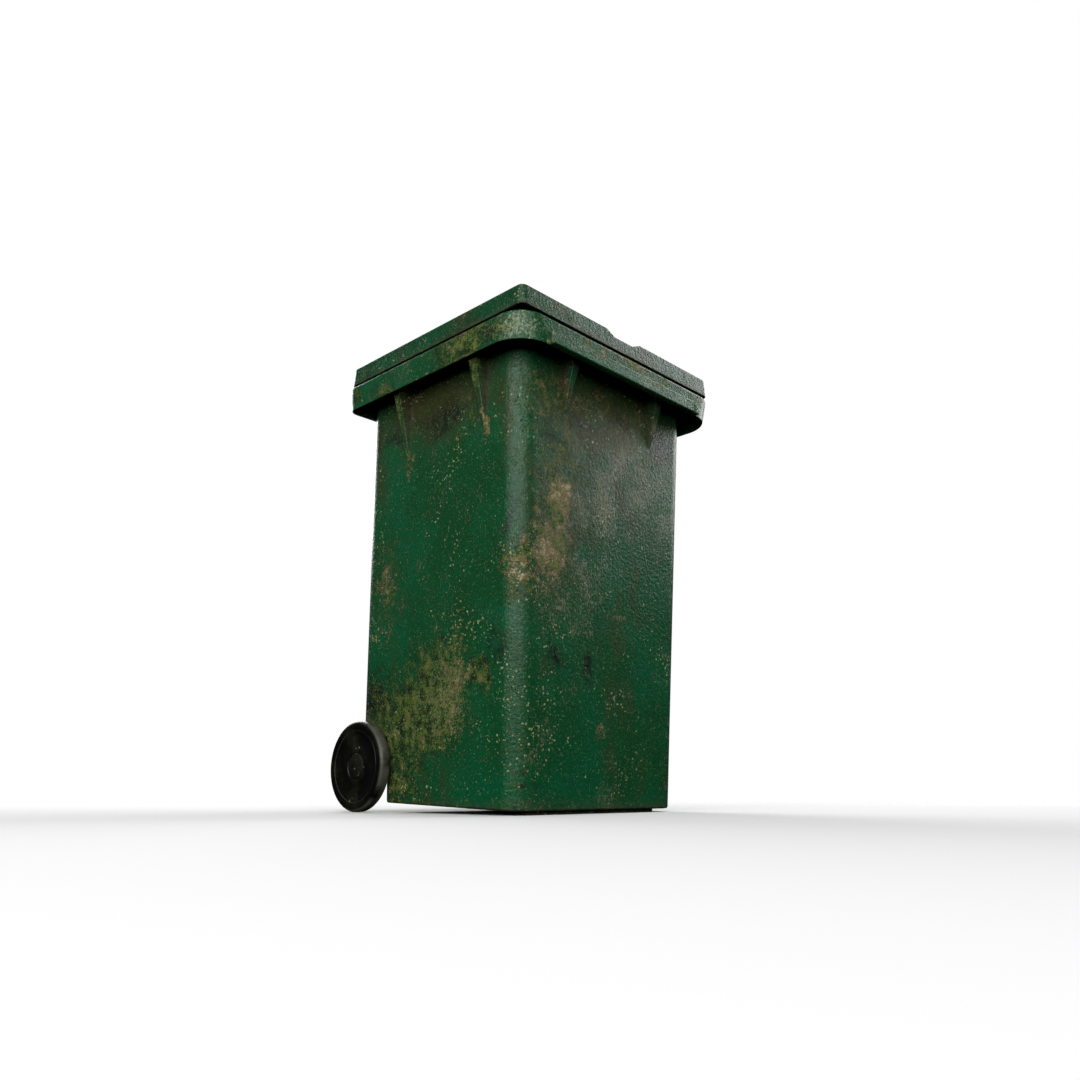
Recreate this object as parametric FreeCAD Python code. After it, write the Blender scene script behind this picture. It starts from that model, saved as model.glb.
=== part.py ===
import FreeCAD, Part
import math
import os

# A two-wheeled litter bin with a hinged lid. Millimetres, +Z up, X across the width.
# The front faces -Y and the wheels, the lid hinge and the handle are at the rear, towards +Y.
# The origin is the middle of the bounding box's foot, on the ground.

V = FreeCAD.Vector

# ---- driving dimensions ----
HEIGHT = 1070.0                 # ground to the top of the closed lid
OBJECT_DEPTH = 734.0            # lifting ledge to handle
RIM_WIDTH = 706.0               # at the rim's top, like RIM_DEPTH
RIM_DEPTH = 612.0
RIM_DRAFT = 2.5                 # how far the rim's foot stands inside its top
RIM_CORNER_TOP = 64.0           # front corners
RIM_CORNER_FOOT = 84.0
RIM_REAR_CORNER = 26.0
RIM_FOOT_Z = 948.0
RIM_TOP_Z = 1010.0
RIM_SHOULDER = 8.0              # rounding of the rim's outer top edge
RIM_WALL = 5.0
LEDGE_PROUD = 8.5               # how far the lifting ledge stands out of the rim's front
LEDGE_HALF = 264.5
LEDGE_TOP_Z = 978.0
SIDE_WEB_HALF = 12.5            # half thickness of the webs between rim and wall
FRONT_WEB_HALF = 11.0
WEB_TIP_HALF = 4.0

WALL = 5.0
BODY_CORNER = 48.0
BODY_TOP_Z = 1052.0
HALF_WIDTH_FOOT = 258.0         # at the ground
HALF_WIDTH_TOP = 301.5          # at BODY_TOP_Z
FLOOR_WALL = 6.0
BASE_FRONT_Z = 7.0              # height of the base's underside at the front
BASE_SLOPE = 0.0337             # rise of the base towards the rear

HANDLE_RADIUS = 15.0
HANDLE_BOSS = 21.0              # radius of the eyes that hold the handle
HANDLE_Z = 990.0

LID_SKIRT_Z = 1024.0
LID_HALF_WIDTH = 338.0
LID_HALF_DEPTH = 304.0
LID_FLARE = 2.0                 # the skirt's lean, foot to top
LID_CORNER = 16.0
LID_WALL = 4.5
LID_EDGE = 4.0                  # rounding of the lid's top edge
NOTCH_HALF_TOP = 61.0
NOTCH_HALF_FLOOR = 33.0
NOTCH_DEEP = 12.5
NOTCH_LONG = 150.0

PIN_RADIUS = 6.0
HINGE_BEHIND_RIM = 80.0
HINGE_Z = 1030.0
ARM_NEAR = 183.0                # the lid's hinge arms, measured from the middle plane
ARM_FAR = 213.0
INNER_EAR = (166.0, 178.0)
OUTER_EAR = (216.0, 226.0)
EAR_RADIUS = 17.0

WHEEL_RADIUS = 100.0
WHEEL_INNER_X = 270.0
WHEEL_OUTER_X = 298.0
TYRE_BORE = 78.0
TYRE_SHOULDER = 7.0
AXLE_RADIUS = 10.0
AXLE_HALF = 286.0
RECESS_TOP_Z = 160.0
RECESS_CORNER = 26.0
WEB_INNER = 236.0               # the outer pair of axle webs
WEB_OUTER = 246.0
MIDDLE_WEB_X = 84.0
MIDDLE_WEB_HALF = 4.0
WEB_BOSS = 24.0

RUN = 0.06                      # radial clearance of a running fit
GAP = 0.1                       # space between pieces that are pushed together

# ---- worked out from them ----
RIM_FRONT = LEDGE_PROUD - OBJECT_DEPTH / 2
RIM_REAR = RIM_FRONT + RIM_DEPTH
RIM_MIDDLE = (RIM_FRONT + RIM_REAR) / 2
MIDDLE = RIM_FRONT + 316.5      # middle of the body's and the lid's depth
FRONT_FOOT = MIDDLE - 212.5
FRONT_TOP = MIDDLE - 261.0
REAR_FOOT = MIDDLE + 314.5
REAR_TOP = MIDDLE + 275.0
RECESS_FRONT = MIDDLE + 194.0
AXLE_Y = MIDDLE + 264.0
AXLE_Z = WHEEL_RADIUS
HANDLE_Y = OBJECT_DEPTH / 2 - HANDLE_BOSS
HINGE_Y = RIM_REAR + HINGE_BEHIND_RIM


# ---- small tools ----
def rounded_loop(x0, x1, y0, y1, radius, z, rear_radius=None):
    """Closed wire: a rectangle with round corners at height z; the rear corners may have their own radius."""
    rear = radius if rear_radius is None else rear_radius
    edges = []
    corners = [(x1 - radius, y0 + radius, radius, 270), (x1 - rear, y1 - rear, rear, 0),
               (x0 + rear, y1 - rear, rear, 90), (x0 + radius, y0 + radius, radius, 180)]
    ends = []
    for cx, cy, turning, start in corners:
        points = []
        for turn in (0, 45, 90):
            angle = math.radians(start + turn)
            points.append(V(cx + turning * math.cos(angle), cy + turning * math.sin(angle), z))
        ends.append(points)
    for index, points in enumerate(ends):
        edges.append(Part.Arc(*points).toShape())
        edges.append(Part.makeLine(points[2], ends[(index + 1) % 4][0]))
    return Part.Wire(edges)


def square_loop(x0, x1, y0, y1, z):
    return Part.makePolygon([V(x0, y0, z), V(x1, y0, z), V(x1, y1, z), V(x0, y1, z), V(x0, y0, z)])


def block(x0, x1, y0, y1, z0, z1):
    return Part.makeBox(x1 - x0, y1 - y0, z1 - z0, V(x0, y0, z0))


def rounded_block(x0, x1, y0, y1, radius, z0, z1):
    face = Part.Face(rounded_loop(x0, x1, y0, y1, radius, z0))
    return face.extrude(V(0, 0, z1 - z0))


def side_plate(points, x0, x1):
    """A plate that stands across X: points are (y, z)."""
    wire = Part.makePolygon([V(x0, y, z) for y, z in points + points[:1]])
    return Part.Face(wire).extrude(V(x1 - x0, 0, 0))


def front_plate(points, y0, y1):
    """A plate that stands across Y: points are (x, z)."""
    wire = Part.makePolygon([V(x, y0, z) for x, z in points + points[:1]])
    return Part.Face(wire).extrude(V(0, y1 - y0, 0))


def rod(radius, x0, x1, y, z):
    low, high = min(x0, x1), max(x0, x1)
    return Part.makeCylinder(radius, high - low, V(low, y, z), V(1, 0, 0))


def tube(outer, inner, x0, x1, y, z):
    return rod(outer, x0, x1, y, z).cut(rod(inner, x0, x1, y, z))


def fuse_all(first, others):
    shape = first
    for other in others:
        shape = shape.fuse(other)
    return shape.removeSplitter()


def mirrored(shape):
    return shape.mirror(V(0, 0, 0), V(1, 0, 0))


def edges_at(shape, test):
    return [edge for edge in shape.Edges if test(edge)]


def lies_at(edge, z):
    return all(abs(vertex.Point.z - z) < 0.01 for vertex in edge.Vertexes)


def save(shape, name):
    solids = shape.Solids
    result = solids[0] if len(solids) == 1 else Part.makeCompound(solids)
    result.exportStep(f"parts/{name}.step")
    print(name, "valid", result.isValid(), "solids", len(solids), "volume cm3", round(result.Volume / 1000, 1))


# ---- the moulded body ----
def body_at(z):
    """Half width, front and rear of the tapered body at height z."""
    share = z / BODY_TOP_Z
    half = HALF_WIDTH_FOOT + (HALF_WIDTH_TOP - HALF_WIDTH_FOOT) * share
    front = FRONT_FOOT + (FRONT_TOP - FRONT_FOOT) * share
    rear = REAR_FOOT + (REAR_TOP - REAR_FOOT) * share
    return half, front, rear


def body_loft(inset, z0, z1):
    loops = []
    for z in (z0, z1):
        half, front, rear = body_at(z)
        loops.append(rounded_loop(-half + inset, half - inset, front + inset, rear - inset,
                                  BODY_CORNER - inset, z))
    return Part.makeLoft(loops, True, True)


def base_z(y):
    return BASE_FRONT_Z + (y - FRONT_FOOT) * BASE_SLOPE


def below_base(lift):
    """Everything under the sloping base, raised by lift."""
    far = 500.0
    points = [(-far, base_z(-far) + lift), (far, base_z(far) + lift), (far, -200), (-far, -200)]
    return side_plate(points, -far, far)


def wheel_recess(grow):
    """The step at the body's lower rear that makes room for the axle, thickened by grow."""
    front = RECESS_FRONT - grow
    top = RECESS_TOP_Z + grow
    solid = block(-400, 400, front, 500, -100, top)
    corner = edges_at(solid, lambda edge: lies_at(edge, top)
                      and all(abs(vertex.Point.y - front) < 0.01 for vertex in edge.Vertexes))
    return solid.makeFillet(RECESS_CORNER + grow, corner)


def rim_loft(inset, z0, z1):
    """The collar's outline from z0 to z1, all of it moved inwards by inset."""
    loops = []
    for z in (z0, z1):
        share = (RIM_TOP_Z - z) / (RIM_TOP_Z - RIM_FOOT_Z)
        within = inset + RIM_DRAFT * share
        half = RIM_WIDTH / 2 - within
        corner = RIM_CORNER_TOP + (RIM_CORNER_FOOT - RIM_CORNER_TOP) * share - inset
        loops.append(rounded_loop(-half, half, RIM_FRONT + within, RIM_REAR - within, corner, z,
                                  RIM_REAR_CORNER - inset))
    return Part.makeLoft(loops, True, True)


def rim():
    """The turned-down collar round the body's mouth, open underneath."""
    collar = rim_loft(0, RIM_FOOT_Z, RIM_TOP_Z)
    collar = collar.makeFillet(RIM_SHOULDER, edges_at(collar, lambda edge: lies_at(edge, RIM_TOP_Z)))
    ceiling = RIM_TOP_Z - RIM_WALL
    hollow = rim_loft(RIM_WALL, RIM_FOOT_Z - 20, ceiling)
    return collar.cut(hollow)


def lifting_ledge():
    """The bar along the rim's front that a lifting comb takes hold of."""
    front = RIM_FRONT - LEDGE_PROUD
    ledge = block(-LEDGE_HALF, LEDGE_HALF, front, RIM_FRONT + RIM_WALL, RIM_FOOT_Z, LEDGE_TOP_Z)
    return ledge.makeFillet(3.0, edges_at(ledge, lambda edge: all(
        abs(vertex.Point.y - front) < 0.01 for vertex in edge.Vertexes)))


def gussets():
    """Webs that brace the rim against the walls and taper to a tip below it."""
    reach = RIM_TOP_Z - RIM_WALL / 2
    foot = RIM_FOOT_Z + 5.0
    shapes = []
    for y in (RIM_MIDDLE - 132.0, RIM_MIDDLE + 132.0):
        loops = []
        for z, outer, half in ((reach, 333.0, SIDE_WEB_HALF), (foot, 333.0, SIDE_WEB_HALF),
                               (800.0, body_at(800.0)[0] + 1.0, WEB_TIP_HALF)):
            loops.append(square_loop(body_at(z)[0] - 3.0, outer, y - half, y + half, z))
        side = Part.makeLoft(loops, True, True)
        shapes += [side, mirrored(side)]
    for x in (-150.0, 150.0):
        loops = []
        for z, outer, half in ((reach, -328.0, FRONT_WEB_HALF), (foot, -328.0, FRONT_WEB_HALF),
                               (846.0, body_at(846.0)[1] - 1.0, WEB_TIP_HALF)):
            loops.append(square_loop(x - half, x + half, outer, body_at(z)[1] + 3.0, z))
        shapes.append(Part.makeLoft(loops, True, True))
    return shapes


def ear_plate(x0, x1, with_handle):
    """One upright ear behind the rim for the hinge pin; the inner ears carry the handle too."""
    root = RIM_REAR - RIM_WALL
    points = [(root, RIM_FOOT_Z + 9), (RIM_REAR + 4, RIM_FOOT_Z + 9), (RIM_REAR + 12, RIM_FOOT_Z + 29),
              (HINGE_Y + 11, HINGE_Z - 13), (HINGE_Y, HINGE_Z + EAR_RADIUS), (root, RIM_TOP_Z - 4)]
    ear = side_plate(points, x0, x1).fuse(rod(EAR_RADIUS, x0, x1, HINGE_Y, HINGE_Z))
    if with_handle:
        arm = [(RIM_REAR + 4, RIM_FOOT_Z + 29), (HANDLE_Y, HANDLE_Z - HANDLE_BOSS),
               (HANDLE_Y + 12, HANDLE_Z + HANDLE_BOSS - 4), (HINGE_Y, HINGE_Z), (root, RIM_TOP_Z - 10)]
        ear = ear.fuse(side_plate(arm, x0, x1)).fuse(rod(HANDLE_BOSS, x0, x1, HANDLE_Y, HANDLE_Z))
        ear = ear.cut(rod(HANDLE_RADIUS + GAP, x0, x1, HANDLE_Y, HANDLE_Z))
    return ear.cut(rod(PIN_RADIUS + RUN, x0, x1, HINGE_Y, HINGE_Z))


def ears():
    inner = ear_plate(INNER_EAR[0], INNER_EAR[1], True)
    outer = ear_plate(OUTER_EAR[0], OUTER_EAR[1], False)
    return [inner, outer, mirrored(inner), mirrored(outer)]


def axle_web(x0, x1, bore):
    """An upright plate in the wheel recess with a round eye for the axle."""
    root = RECESS_FRONT - 2
    points = [(root, AXLE_Z - 20), (AXLE_Y - 14, AXLE_Z - WEB_BOSS + 4), (AXLE_Y + 14, AXLE_Z - WEB_BOSS + 4),
              (AXLE_Y + WEB_BOSS + 4, RECESS_TOP_Z + 2), (root, RECESS_TOP_Z + 2)]
    web = side_plate(points, x0, x1).fuse(rod(WEB_BOSS, x0, x1, AXLE_Y, AXLE_Z))
    return web.cut(rod(bore, x0, x1, AXLE_Y, AXLE_Z))


def axle_webs():
    outer = axle_web(WEB_INNER, WEB_OUTER, 13.0 + GAP)
    middle = axle_web(MIDDLE_WEB_X - MIDDLE_WEB_HALF, MIDDLE_WEB_X + MIDDLE_WEB_HALF, AXLE_RADIUS + 1.0)
    return [outer, middle, mirrored(outer), mirrored(middle)]


def front_foot():
    """The strip under the front of the base that the bin rests on."""
    y0, y1 = FRONT_FOOT + 18.0, FRONT_FOOT + 58.0
    return rounded_block(-205.0, 205.0, y0, y1, 18.0, 0.0, base_z(y1) + 3)


def bin_body():
    shell = body_loft(0, -20.0, BODY_TOP_Z).cut(below_base(0)).cut(wheel_recess(0))
    outside = fuse_all(shell, [rim(), lifting_ledge(), front_foot()] + gussets())
    cavity = body_loft(WALL, -20.0, BODY_TOP_Z + 20.0).cut(below_base(FLOOR_WALL)).cut(wheel_recess(WALL))
    return fuse_all(outside.cut(cavity), ears() + axle_webs())


# ---- the lid ----
def lid_loft(inset, z0, z1):
    loops = []
    for z in (z0, z1):
        lean = LID_FLARE * (z - LID_SKIRT_Z) / (HEIGHT - LID_SKIRT_Z)
        half = LID_HALF_WIDTH - lean - inset
        deep = LID_HALF_DEPTH - lean - inset
        loops.append(rounded_loop(-half, half, MIDDLE - deep, MIDDLE + deep, max(LID_CORNER - inset, 4.0), z))
    return Part.makeLoft(loops, True, True)


def grip_channel(grow):
    """The shallow channel in the lid's top that runs in from the middle of its front."""
    front = MIDDLE - LID_HALF_DEPTH - 20.0
    back = MIDDLE - LID_HALF_DEPTH + NOTCH_LONG
    loops = []
    for y, deep in ((front, NOTCH_DEEP), (back, NOTCH_DEEP * 0.4)):
        low = HEIGHT - deep - grow
        high = HEIGHT + 12.0
        side = (NOTCH_HALF_TOP - NOTCH_HALF_FLOOR) / NOTCH_DEEP
        floor = NOTCH_HALF_FLOOR + grow
        top = floor + side * (high - low)
        points = [V(-top, y, high), V(-floor, y, low), V(floor, y, low), V(top, y, high), V(-top, y, high)]
        loops.append(Part.makePolygon(points))
    return Part.makeLoft(loops, True, True)


def hinge_arm():
    """A lid arm that reaches back to the hinge pin, between two ears."""
    lid_rear = MIDDLE + LID_HALF_DEPTH
    points = [(lid_rear - 12, LID_SKIRT_Z + 6), (HINGE_Y - 4, HINGE_Z - 14.4), (HINGE_Y + 4, HINGE_Z + 14.4),
              (lid_rear - 12, HEIGHT - 12)]
    arm = side_plate(points, ARM_NEAR, ARM_FAR).fuse(rod(15.0, ARM_NEAR, ARM_FAR, HINGE_Y, HINGE_Z))
    return arm.cut(rod(PIN_RADIUS + RUN, ARM_NEAR, ARM_FAR, HINGE_Y, HINGE_Z))


def lid():
    outside = lid_loft(0, LID_SKIRT_Z, HEIGHT)
    outside = outside.makeFillet(LID_EDGE, edges_at(outside, lambda edge: lies_at(edge, HEIGHT)))
    hollow = lid_loft(LID_WALL, LID_SKIRT_Z - 10, HEIGHT - LID_WALL)
    bridge = grip_channel(LID_WALL).common(outside)
    arm = hinge_arm()
    arms = fuse_all(arm, [mirrored(arm)]).cut(hollow)
    shell = outside.cut(hollow).fuse(bridge)
    return shell.cut(grip_channel(0)).fuse(arms)


def lid_buffers():
    """Four rubber stops under the lid that land on the body's top edge."""
    ceiling = HEIGHT - LID_WALL - 0.1
    foot = BODY_TOP_Z + 0.3
    buffers = []
    for x in (-150.0, 150.0):
        for y in (FRONT_TOP + WALL / 2, REAR_TOP - WALL / 2):
            buffers.append(Part.makeCylinder(11.0, ceiling - foot, V(x, y, foot)))
    return Part.makeCompound(buffers)


# ---- hinge pins and handle ----
def hinge_pin():
    """A pin with a head on the outer ear and a groove for its clip inside the inner ear."""
    inner_end = INNER_EAR[0] - 8.0
    pin = rod(PIN_RADIUS, inner_end, OUTER_EAR[1] + 1, HINGE_Y, HINGE_Z)
    head = rod(10.0, OUTER_EAR[1] + GAP, OUTER_EAR[1] + 5, HINGE_Y, HINGE_Z)
    pin = pin.fuse(head).removeSplitter()
    groove = tube(PIN_RADIUS + 2, PIN_RADIUS - 1.2, INNER_EAR[0] - 4, INNER_EAR[0] - 2, HINGE_Y, HINGE_Z)
    return pin.cut(groove)


def hinge_clip():
    """The open spring ring in the pin's groove."""
    x0, x1 = INNER_EAR[0] - 4 + GAP, INNER_EAR[0] - 2 - GAP
    ring = tube(10.5, PIN_RADIUS - 1.1, x0, x1, HINGE_Y, HINGE_Z)
    return ring.cut(block(x0 - 1, x1 + 1, HINGE_Y - 3.5, HINGE_Y + 3.5, HINGE_Z - 20, HINGE_Z))


def handle_bar():
    end = INNER_EAR[1] - 0.2
    return tube(HANDLE_RADIUS, HANDLE_RADIUS - 3.5, -end, end, HANDLE_Y, HANDLE_Z)


def handle_plug():
    """The cap in the handle tube's end."""
    end = INNER_EAR[1]
    stem = rod(HANDLE_RADIUS - 3.6, end - 22, end + 1, HANDLE_Y, HANDLE_Z)
    head = rod(HANDLE_RADIUS + 3, end + GAP, end + 3, HANDLE_Y, HANDLE_Z)
    return stem.fuse(head).removeSplitter()


# ---- axle and wheels ----
def axle():
    bar = rod(AXLE_RADIUS, -AXLE_HALF, AXLE_HALF, AXLE_Y, AXLE_Z)
    ends = [edge for edge in bar.Edges if len(edge.Vertexes) == 1]
    return bar.makeChamfer(1.5, ends)


def axle_bush():
    """The flanged sleeve in the outer axle web."""
    sleeve = rod(13.0, WEB_INNER - 1, WEB_OUTER + 2, AXLE_Y, AXLE_Z)
    flange = rod(18.0, WEB_OUTER + GAP, WEB_OUTER + 2.5, AXLE_Y, AXLE_Z)
    return sleeve.fuse(flange).removeSplitter().cut(rod(AXLE_RADIUS + GAP, 200, 300, AXLE_Y, AXLE_Z))


def axle_spacer():
    return tube(14.0, AXLE_RADIUS + GAP, WEB_OUTER + 2.7, 258.6, AXLE_Y, AXLE_Z)


def thrust_washer():
    return tube(19.0, AXLE_RADIUS + 0.3, 258.8, 260.8, AXLE_Y, AXLE_Z)


def axle_clip():
    """The domed push-on ring that keeps the wheel on the axle."""
    return tube(15.0, AXLE_RADIUS + 0.02, 279.2, 282.2, AXLE_Y, AXLE_Z)


def tyre():
    ring = rod(WHEEL_RADIUS, WHEEL_INNER_X, WHEEL_OUTER_X, AXLE_Y, AXLE_Z)
    ring = ring.makeFillet(TYRE_SHOULDER, [edge for edge in ring.Edges if len(edge.Vertexes) == 1])
    return ring.cut(rod(TYRE_BORE, WHEEL_INNER_X - 1, WHEEL_OUTER_X + 1, AXLE_Y, AXLE_Z))


def wheel_hub():
    """The plastic wheel centre: a smooth outer disc, a rim for the tyre, ribs and a boss."""
    rim_radius = TYRE_BORE - GAP
    disc = rod(rim_radius, WHEEL_OUTER_X - 7, WHEEL_OUTER_X - 2, AXLE_Y, AXLE_Z)
    band = tube(rim_radius, rim_radius - 6, WHEEL_INNER_X + 3, WHEEL_OUTER_X - 2, AXLE_Y, AXLE_Z)
    boss = rod(25.0, 261.6, WHEEL_OUTER_X - 3, AXLE_Y, AXLE_Z)
    parts = [band, boss]
    ribs = 8
    for index in range(ribs):
        rib = block(WHEEL_INNER_X + 5, WHEEL_OUTER_X - 4, AXLE_Y - 2, AXLE_Y + 2, AXLE_Z + 20, AXLE_Z + rim_radius - 3)
        rib.rotate(V(0, AXLE_Y, AXLE_Z), V(1, 0, 0), 360.0 * index / ribs)
        parts.append(rib)
    hub = fuse_all(disc, parts)
    hub = hub.cut(rod(14.0, 250, 279, AXLE_Y, AXLE_Z))
    return hub.cut(rod(21.0, 278.4, 310, AXLE_Y, AXLE_Z)).cut(rod(28.0, WHEEL_OUTER_X - 5, 310, AXLE_Y, AXLE_Z))


def hub_bush():
    return tube(14.0 - GAP, AXLE_RADIUS + RUN, 261.8, 278.2, AXLE_Y, AXLE_Z)


def hub_cap():
    """The snap-in cover over the axle's end."""
    face = rod(28.0 - GAP, WHEEL_OUTER_X - 4.9, WHEEL_OUTER_X - 1.5, AXLE_Y, AXLE_Z)
    skirt = tube(21.0 - GAP, 18.0, 284.0, WHEEL_OUTER_X - 4, AXLE_Y, AXLE_Z)
    return face.fuse(skirt).removeSplitter()


SINGLE = {"bin_body": bin_body, "lid": lid, "lid_buffers": lid_buffers, "handle_bar": handle_bar, "axle": axle}

PAIRS = {
    "hinge_pin": hinge_pin, "hinge_clip": hinge_clip, "handle_plug": handle_plug, "axle_bush": axle_bush,
    "axle_spacer": axle_spacer, "thrust_washer": thrust_washer, "axle_clip": axle_clip, "tyre": tyre,
    "wheel_hub": wheel_hub, "hub_bush": hub_bush, "hub_cap": hub_cap,
}

os.makedirs("parts", exist_ok=True)
for name, make in SINGLE.items():
    save(make(), name)
for name, make in PAIRS.items():
    right = make()
    save(right, name + "_right")
    save(mirrored(right), name + "_left")
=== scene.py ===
"""Looks of a weathered two-wheeled litter bin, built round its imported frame.

Lengths are metres. The front faces -Y, the wheels, the lid hinge and the handle are towards +Y, and Z is up.
"""

import logging
import math
from dataclasses import dataclass
from enum import Enum
from typing import Callable, Iterable, Sequence, Union

import bmesh
import bpy
from mathutils import Matrix, Vector


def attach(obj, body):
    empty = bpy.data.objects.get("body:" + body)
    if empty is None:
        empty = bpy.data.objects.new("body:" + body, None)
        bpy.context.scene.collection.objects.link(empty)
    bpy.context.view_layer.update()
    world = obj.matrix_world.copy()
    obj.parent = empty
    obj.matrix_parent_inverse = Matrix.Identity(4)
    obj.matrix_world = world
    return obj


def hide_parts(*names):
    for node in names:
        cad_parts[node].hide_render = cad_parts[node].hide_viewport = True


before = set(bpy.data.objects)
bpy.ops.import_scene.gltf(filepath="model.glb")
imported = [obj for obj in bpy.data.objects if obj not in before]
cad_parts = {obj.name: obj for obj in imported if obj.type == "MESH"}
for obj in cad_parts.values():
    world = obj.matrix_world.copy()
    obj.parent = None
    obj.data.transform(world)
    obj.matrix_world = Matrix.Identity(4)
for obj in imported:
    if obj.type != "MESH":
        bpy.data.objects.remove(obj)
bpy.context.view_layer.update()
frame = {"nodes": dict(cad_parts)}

LOG = logging.getLogger("litter_bin")

Point = tuple[float, float, float]
Flat = tuple[float, float]
Colour = tuple[float, float, float, float]
Socket = bpy.types.NodeSocket
Given = Union[Socket, float, Point, Colour, str]


class Side(Enum):
    """The bin's left and right, as signs on X."""

    LEFT = -1
    RIGHT = 1

    @property
    def word(self) -> str:
        """The side's name as the frame's nodes spell it."""
        return self.name.lower()


class Slot(Enum):
    """The frame's material slots."""

    BODY = "body_plastic"
    LID = "lid_plastic"
    HANDLE = "handle_plastic"
    PIN = "pin_plastic"
    HUB = "hub_plastic"
    BUSH = "bush_plastic"
    TYRE = "tyre_rubber"
    BUFFER = "buffer_rubber"
    AXLE = "axle_steel"
    CLIP = "clip_steel"


def paint(red: int, green: int, blue: int) -> Colour:
    """Turn a colour given in 0 to 255 display steps into linear light.

    Args:
        red: Red step.
        green: Green step.
        blue: Blue step.

    Returns:
        The linear colour with full alpha.
    """
    linear = []
    for step in (red, green, blue):
        share = step / 255
        linear.append(share / 12.92 if share <= 0.04045 else ((share + 0.055) / 1.055) ** 2.4)
    return (linear[0], linear[1], linear[2], 1.0)


# ---------------------------------------------------------------- shaping tools


def edges_where(bm: bmesh.types.BMesh, test: Callable[[Vector, Vector], bool]) -> list[bmesh.types.BMEdge]:
    """Pick edges by the places of their two ends.

    Args:
        bm: The shape.
        test: Says whether an edge with these ends is wanted.

    Returns:
        The wanted edges.
    """
    return [edge for edge in bm.edges if test(edge.verts[0].co, edge.verts[1].co)]


def sharp_edges(bm: bmesh.types.BMesh, degrees: float) -> list[bmesh.types.BMEdge]:
    """Pick the edges where two faces meet at more than an angle.

    Args:
        bm: The shape.
        degrees: The smallest angle that counts.

    Returns:
        The sharp edges.
    """
    limit = math.radians(degrees)
    return [edge for edge in bm.edges if len(edge.link_faces) == 2 and edge.calc_face_angle(0.0) > limit]


def round_edges(bm: bmesh.types.BMesh, edges: Iterable[bmesh.types.BMEdge], radius: float,
                segments: int) -> None:
    """Round edges off.

    Args:
        bm: The shape.
        edges: The edges to round.
        radius: Radius of the rounding on a square edge.
        segments: Faces across the rounding.
    """
    bmesh.ops.bevel(bm, geom=list(edges), offset=radius, offset_type="OFFSET", segments=segments, profile=0.5,
                    affect="EDGES", clamp_overlap=True, material=-1)


def prism(outline: Sequence[Flat], start: float, end: float) -> bmesh.types.BMesh:
    """Draw a side outline and pull it across X.

    Args:
        outline: (y, z) corners in order.
        start: X of the first side.
        end: X of the second side.

    Returns:
        The closed prism.
    """
    bm = bmesh.new()
    face = bm.faces.new([bm.verts.new((start, y, z)) for y, z in outline])
    pulled = bmesh.ops.extrude_face_region(bm, geom=[face])["geom"]
    moved = [item for item in pulled if isinstance(item, bmesh.types.BMVert)]
    bmesh.ops.translate(bm, verts=moved, vec=(end - start, 0, 0))
    bmesh.ops.recalc_face_normals(bm, faces=bm.faces)
    return bm


def block(low: Point, high: Point, radius: float) -> bmesh.types.BMesh:
    """Make a box between two corners with small rounded edges.

    Args:
        low: Lowest corner.
        high: Highest corner.
        radius: Rounding of every edge.

    Returns:
        The rounded box.
    """
    bm = bmesh.new()
    size = Vector(high) - Vector(low)
    middle = (Vector(high) + Vector(low)) / 2
    bmesh.ops.create_cube(bm, size=1.0, matrix=Matrix.Translation(middle) @ Matrix.Diagonal((*size, 1.0)))
    round_edges(bm, bm.edges, radius, 3)
    return bm


def rounded_plane(half_x: float, half_y: float, middle_y: float, z: float, corner: float,
                  segments: int) -> tuple[bmesh.types.BMesh, bmesh.types.BMFace]:
    """Make one flat face with round corners.

    Args:
        half_x: Half its width.
        half_y: Half its depth.
        middle_y: Y of its middle.
        z: Its height.
        corner: Corner radius.
        segments: Edges across a corner.

    Returns:
        The shape and its only face.
    """
    bm = bmesh.new()
    place = Matrix.Translation((0, middle_y, z)) @ Matrix.Diagonal((half_x, half_y, 1.0, 1.0))
    bmesh.ops.create_grid(bm, x_segments=1, y_segments=1, size=1.0, matrix=place)
    bmesh.ops.bevel(bm, geom=list(bm.verts), offset=corner, offset_type="OFFSET", segments=segments,
                    profile=0.5, affect="VERTICES", clamp_overlap=True, material=-1)
    bm.faces.ensure_lookup_table()
    return bm, bm.faces[0]


def raise_face(bm: bmesh.types.BMesh, face: bmesh.types.BMFace, rise: float) -> bmesh.types.BMFace:
    """Pull a face straight up with walls under it.

    Args:
        bm: The shape.
        face: The face to pull.
        rise: How far up.

    Returns:
        The face at its new height.
    """
    pulled = bmesh.ops.extrude_face_region(bm, geom=[face])["geom"]
    moved = [item for item in pulled if isinstance(item, bmesh.types.BMVert)]
    bmesh.ops.translate(bm, verts=moved, vec=(0, 0, rise))
    return next(item for item in pulled if isinstance(item, bmesh.types.BMFace))


def step_in(bm: bmesh.types.BMesh, face: bmesh.types.BMFace, inset: float, rise: float) -> None:
    """Shrink a face inside its own outline and lift it.

    Args:
        bm: The shape.
        face: The face, which stays the inner one.
        inset: How far its outline moves in.
        rise: How far it moves up.
    """
    bmesh.ops.inset_region(bm, faces=[face], thickness=inset, use_even_offset=True, use_boundary=True)
    bmesh.ops.translate(bm, verts=list(face.verts), vec=(0, 0, rise))


def round_over(bm: bmesh.types.BMesh, face: bmesh.types.BMFace, radius: float, steps: int) -> None:
    """Round the rim of a top face with a quarter circle of steps.

    Args:
        bm: The shape.
        face: The top face.
        radius: Radius of the rounding.
        steps: Number of steps.
    """
    for index in range(steps):
        low, high = (math.radians(90 * number / steps) for number in (index, index + 1))
        inset = radius * (math.cos(low) - math.cos(high))
        step_in(bm, face, inset, radius * (math.sin(high) - math.sin(low)))


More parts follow.
